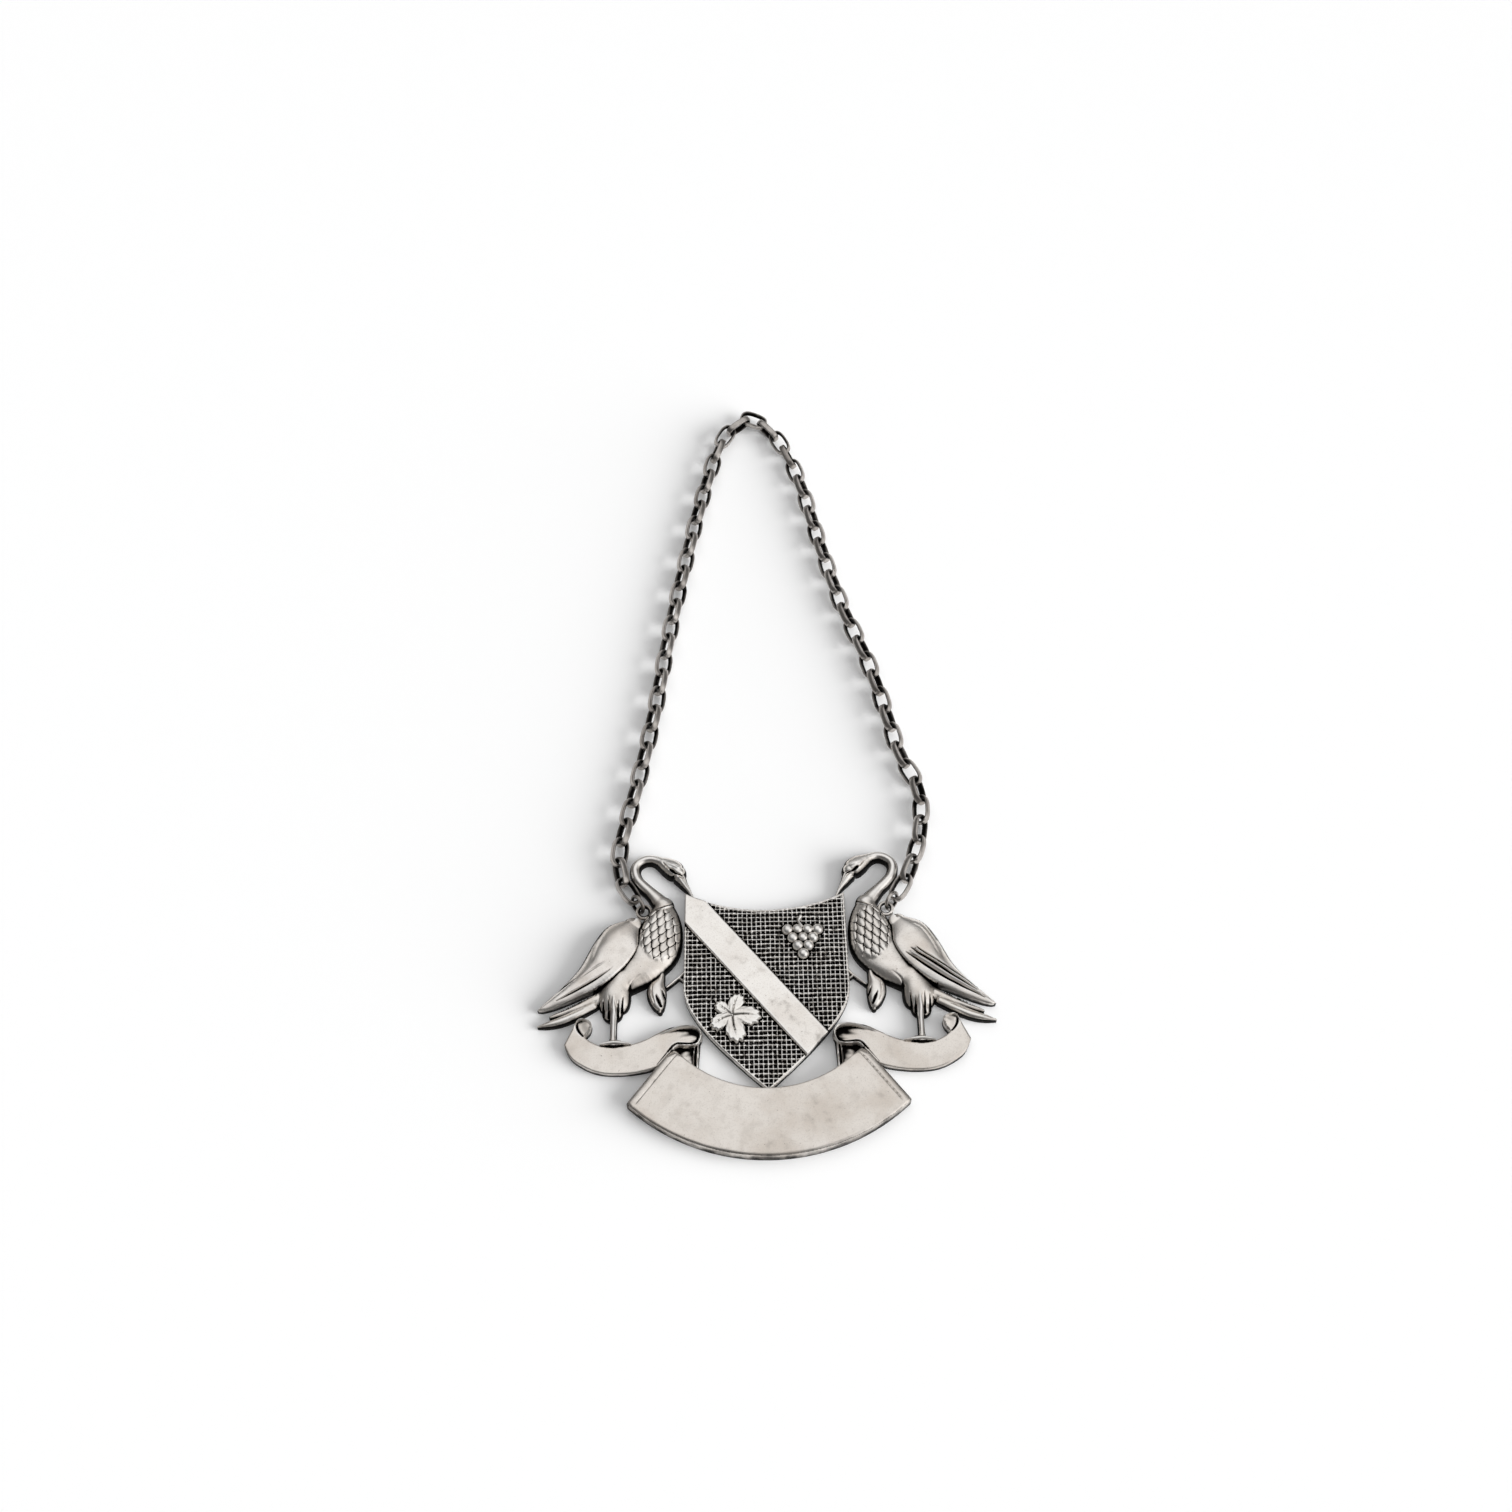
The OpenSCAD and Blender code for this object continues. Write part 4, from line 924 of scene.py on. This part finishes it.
def wirePiece(name, frames, loop):
    points, faces, dark = loop
    coords, polys = [], []
    for centre, axes in frames:
        base = len(coords) * len(points)
        coords.append(points @ axes.T + centre)
        polys += [tuple(v + base for v in f) for f in faces]
    mesh = bpy.data.meshes.new(name)
    mesh.from_pydata((np.concatenate(coords) * mm).tolist(), [], polys)
    values = np.tile(dark, len(frames)).astype(np.float32)
    mesh.attributes.new("shadeShineAndPatina", "FLOAT", "POINT").data.foreach_set("value", values)
    mesh.shade_smooth()
    mesh.set_sharp_from_angle(angle=math.radians(wireLook["sharpFrom"]))
    return addPiece(name, mesh)


eyeletLoop = wireLoop(*wireLook["eyelet"])
ringLoop = wireLoop(*wireLook["ring"], wireLook["ringGap"])
linkLoop = wireLoop(*wireLook["link"])
for side in ("left", "right"):
    eyelet = wirePiece(side + "Eyelet", solidFrames(side + "_eyelet", 1), eyeletLoop)
    dress(eyelet, castSilver, "label", "cast_silver", side + "_eyelet")
    ring = wirePiece(side + "JumpRing", solidFrames(side + "_jump_ring", 1), ringLoop)
    dress(ring, chainSilver, "jump_rings", "chain_silver", side + "_jump_ring")
rows = sorted(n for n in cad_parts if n.startswith("links_row_"))
for node in rows:
    number = node[-2:]
    row = wirePiece("linksRow" + number, solidFrames(node, 2), linkLoop)
    dress(row, chainSilver, "row_" + number, "chain_silver", node)
topLink = wirePiece("topLink", solidFrames("top_link", 1), linkLoop)
dress(topLink, chainSilver, "top_link", "chain_silver", "top_link")
print("wire bent:", len(rows), "rows of links")


# table, light and camera

stageLook = {
    "table": (0.92, 0.92, 0.92, 1), "tableSize": 60.0, "tableDrop": 0.02 * mm, "tableLift": 0.05,
    "tableRough": 0.9, "sensor": 36.0, "clip": (0.005, 100.0),
    "lens": 41.31, "cameraAt": (-2.99, -89.46, 219.0), "cameraTurn": (30.0, 0.0, -1.0),
}
lightLook = {
    "dim": 0.08, "horizon": 0.1, "horizonFrom": (-0.34, -0.06),  # the room's own light, brighter low down
    "panels": [((0, 0.34, 0.94), 20.0, 54.0, 0.84),  # towards, full to, fades by, strength
               ((0.78, -0.36, 0.5), 12.0, 40.0, 1.2)],
    "sunFrom": (0.94, -0.28, 0.16), "sunWidth": 56.0, "sunStrength": 7.6,
}
bpy.ops.mesh.primitive_plane_add(size=stageLook["tableSize"], location=(0, 0, -stageLook["tableDrop"]))
table = bpy.context.object
table.name = "table"
paper = bpy.data.materials.new("tablePaper")
paper.use_nodes = True
nodes, links = paper.node_tree.nodes, paper.node_tree.links
sheet = nodes["Principled BSDF"]
sheet.inputs["Base Color"].default_value = stageLook["table"]
sheet.inputs["Roughness"].default_value = stageLook["tableRough"]
sheet.inputs["Emission Color"].default_value = (1, 1, 1, 1)
seen = nodes.new("ShaderNodeLightPath")
glow = nodes.new("ShaderNodeMapRange")
most = seen.outputs["Is Camera Ray"]
for ray in ("Is Glossy Ray", "Is Transmission Ray"):
    either = nodes.new("ShaderNodeMath")
    either.operation = "MAXIMUM"
    links.new(most, either.inputs[0])
    links.new(seen.outputs[ray], either.inputs[1])
    most = either.outputs["Value"]
glow.inputs["To Max"].default_value = stageLook["tableLift"]
links.new(most, glow.inputs["Value"])
links.new(glow.outputs["Result"], sheet.inputs["Emission Strength"])
table.data.materials.append(paper)

world = bpy.data.worlds.new("studio")
bpy.context.scene.world = world
world.use_nodes = True
nodes, links = world.node_tree.nodes, world.node_tree.links
look = nodes.new("ShaderNodeTexCoord").outputs["Generated"]


def glowFrom(direction, low, high, strength):  # soft light around a direction
    towards = nodes.new("ShaderNodeVectorMath")
    towards.operation = "DOT_PRODUCT"
    links.new(look, towards.inputs[0])
    towards.inputs[1].default_value = Vector(direction).normalized()
    soft = nodes.new("ShaderNodeMapRange")
    soft.interpolation_type = "SMOOTHSTEP"
    for key, number in (("From Min", low), ("From Max", high), ("To Max", strength)):
        soft.inputs[key].default_value = number
    links.new(towards.outputs["Value"], soft.inputs["Value"])
    return soft.outputs["Result"]


parts = [glowFrom((0, 0, -1), *lightLook["horizonFrom"], lightLook["horizon"])]
for direction, full, fades, strength in lightLook["panels"]:
    parts.append(glowFrom(direction, math.cos(math.radians(fades)), math.cos(math.radians(full)), strength))
light = None
for part in parts:
    both = nodes.new("ShaderNodeMath")
    if light is None:
        both.inputs[0].default_value = lightLook["dim"]
    else:
        links.new(light, both.inputs[0])
    links.new(part, both.inputs[1])
    light = both.outputs["Value"]
nodes["Background"].inputs["Color"].default_value = (1, 1, 1, 1)
links.new(light, nodes["Background"].inputs["Strength"])

sun = bpy.data.lights.new("keySun", "SUN")
sun.energy = lightLook["sunStrength"]
sun.angle = math.radians(lightLook["sunWidth"])
key = bpy.data.objects.new("keySun", sun)
key.rotation_euler = (-Vector(lightLook["sunFrom"])).to_track_quat("-Z", "Y").to_euler()
key.visible_glossy = False  # its shine on the metal comes from the softer panels
bpy.context.scene.collection.objects.link(key)

camera = bpy.data.cameras.new("camera")
camera.sensor_width = stageLook["sensor"]
camera.lens = stageLook["lens"]
camera.clip_start, camera.clip_end = stageLook["clip"]
eye = bpy.data.objects.new("camera", camera)
eye.location = [v * mm for v in stageLook["cameraAt"]]
eye.rotation_euler = [math.radians(v) for v in stageLook["cameraTurn"]]
bpy.context.scene.collection.objects.link(eye)
bpy.context.scene.camera = eye
bpy.context.scene.view_settings.view_transform = "Standard"
print("stage set")
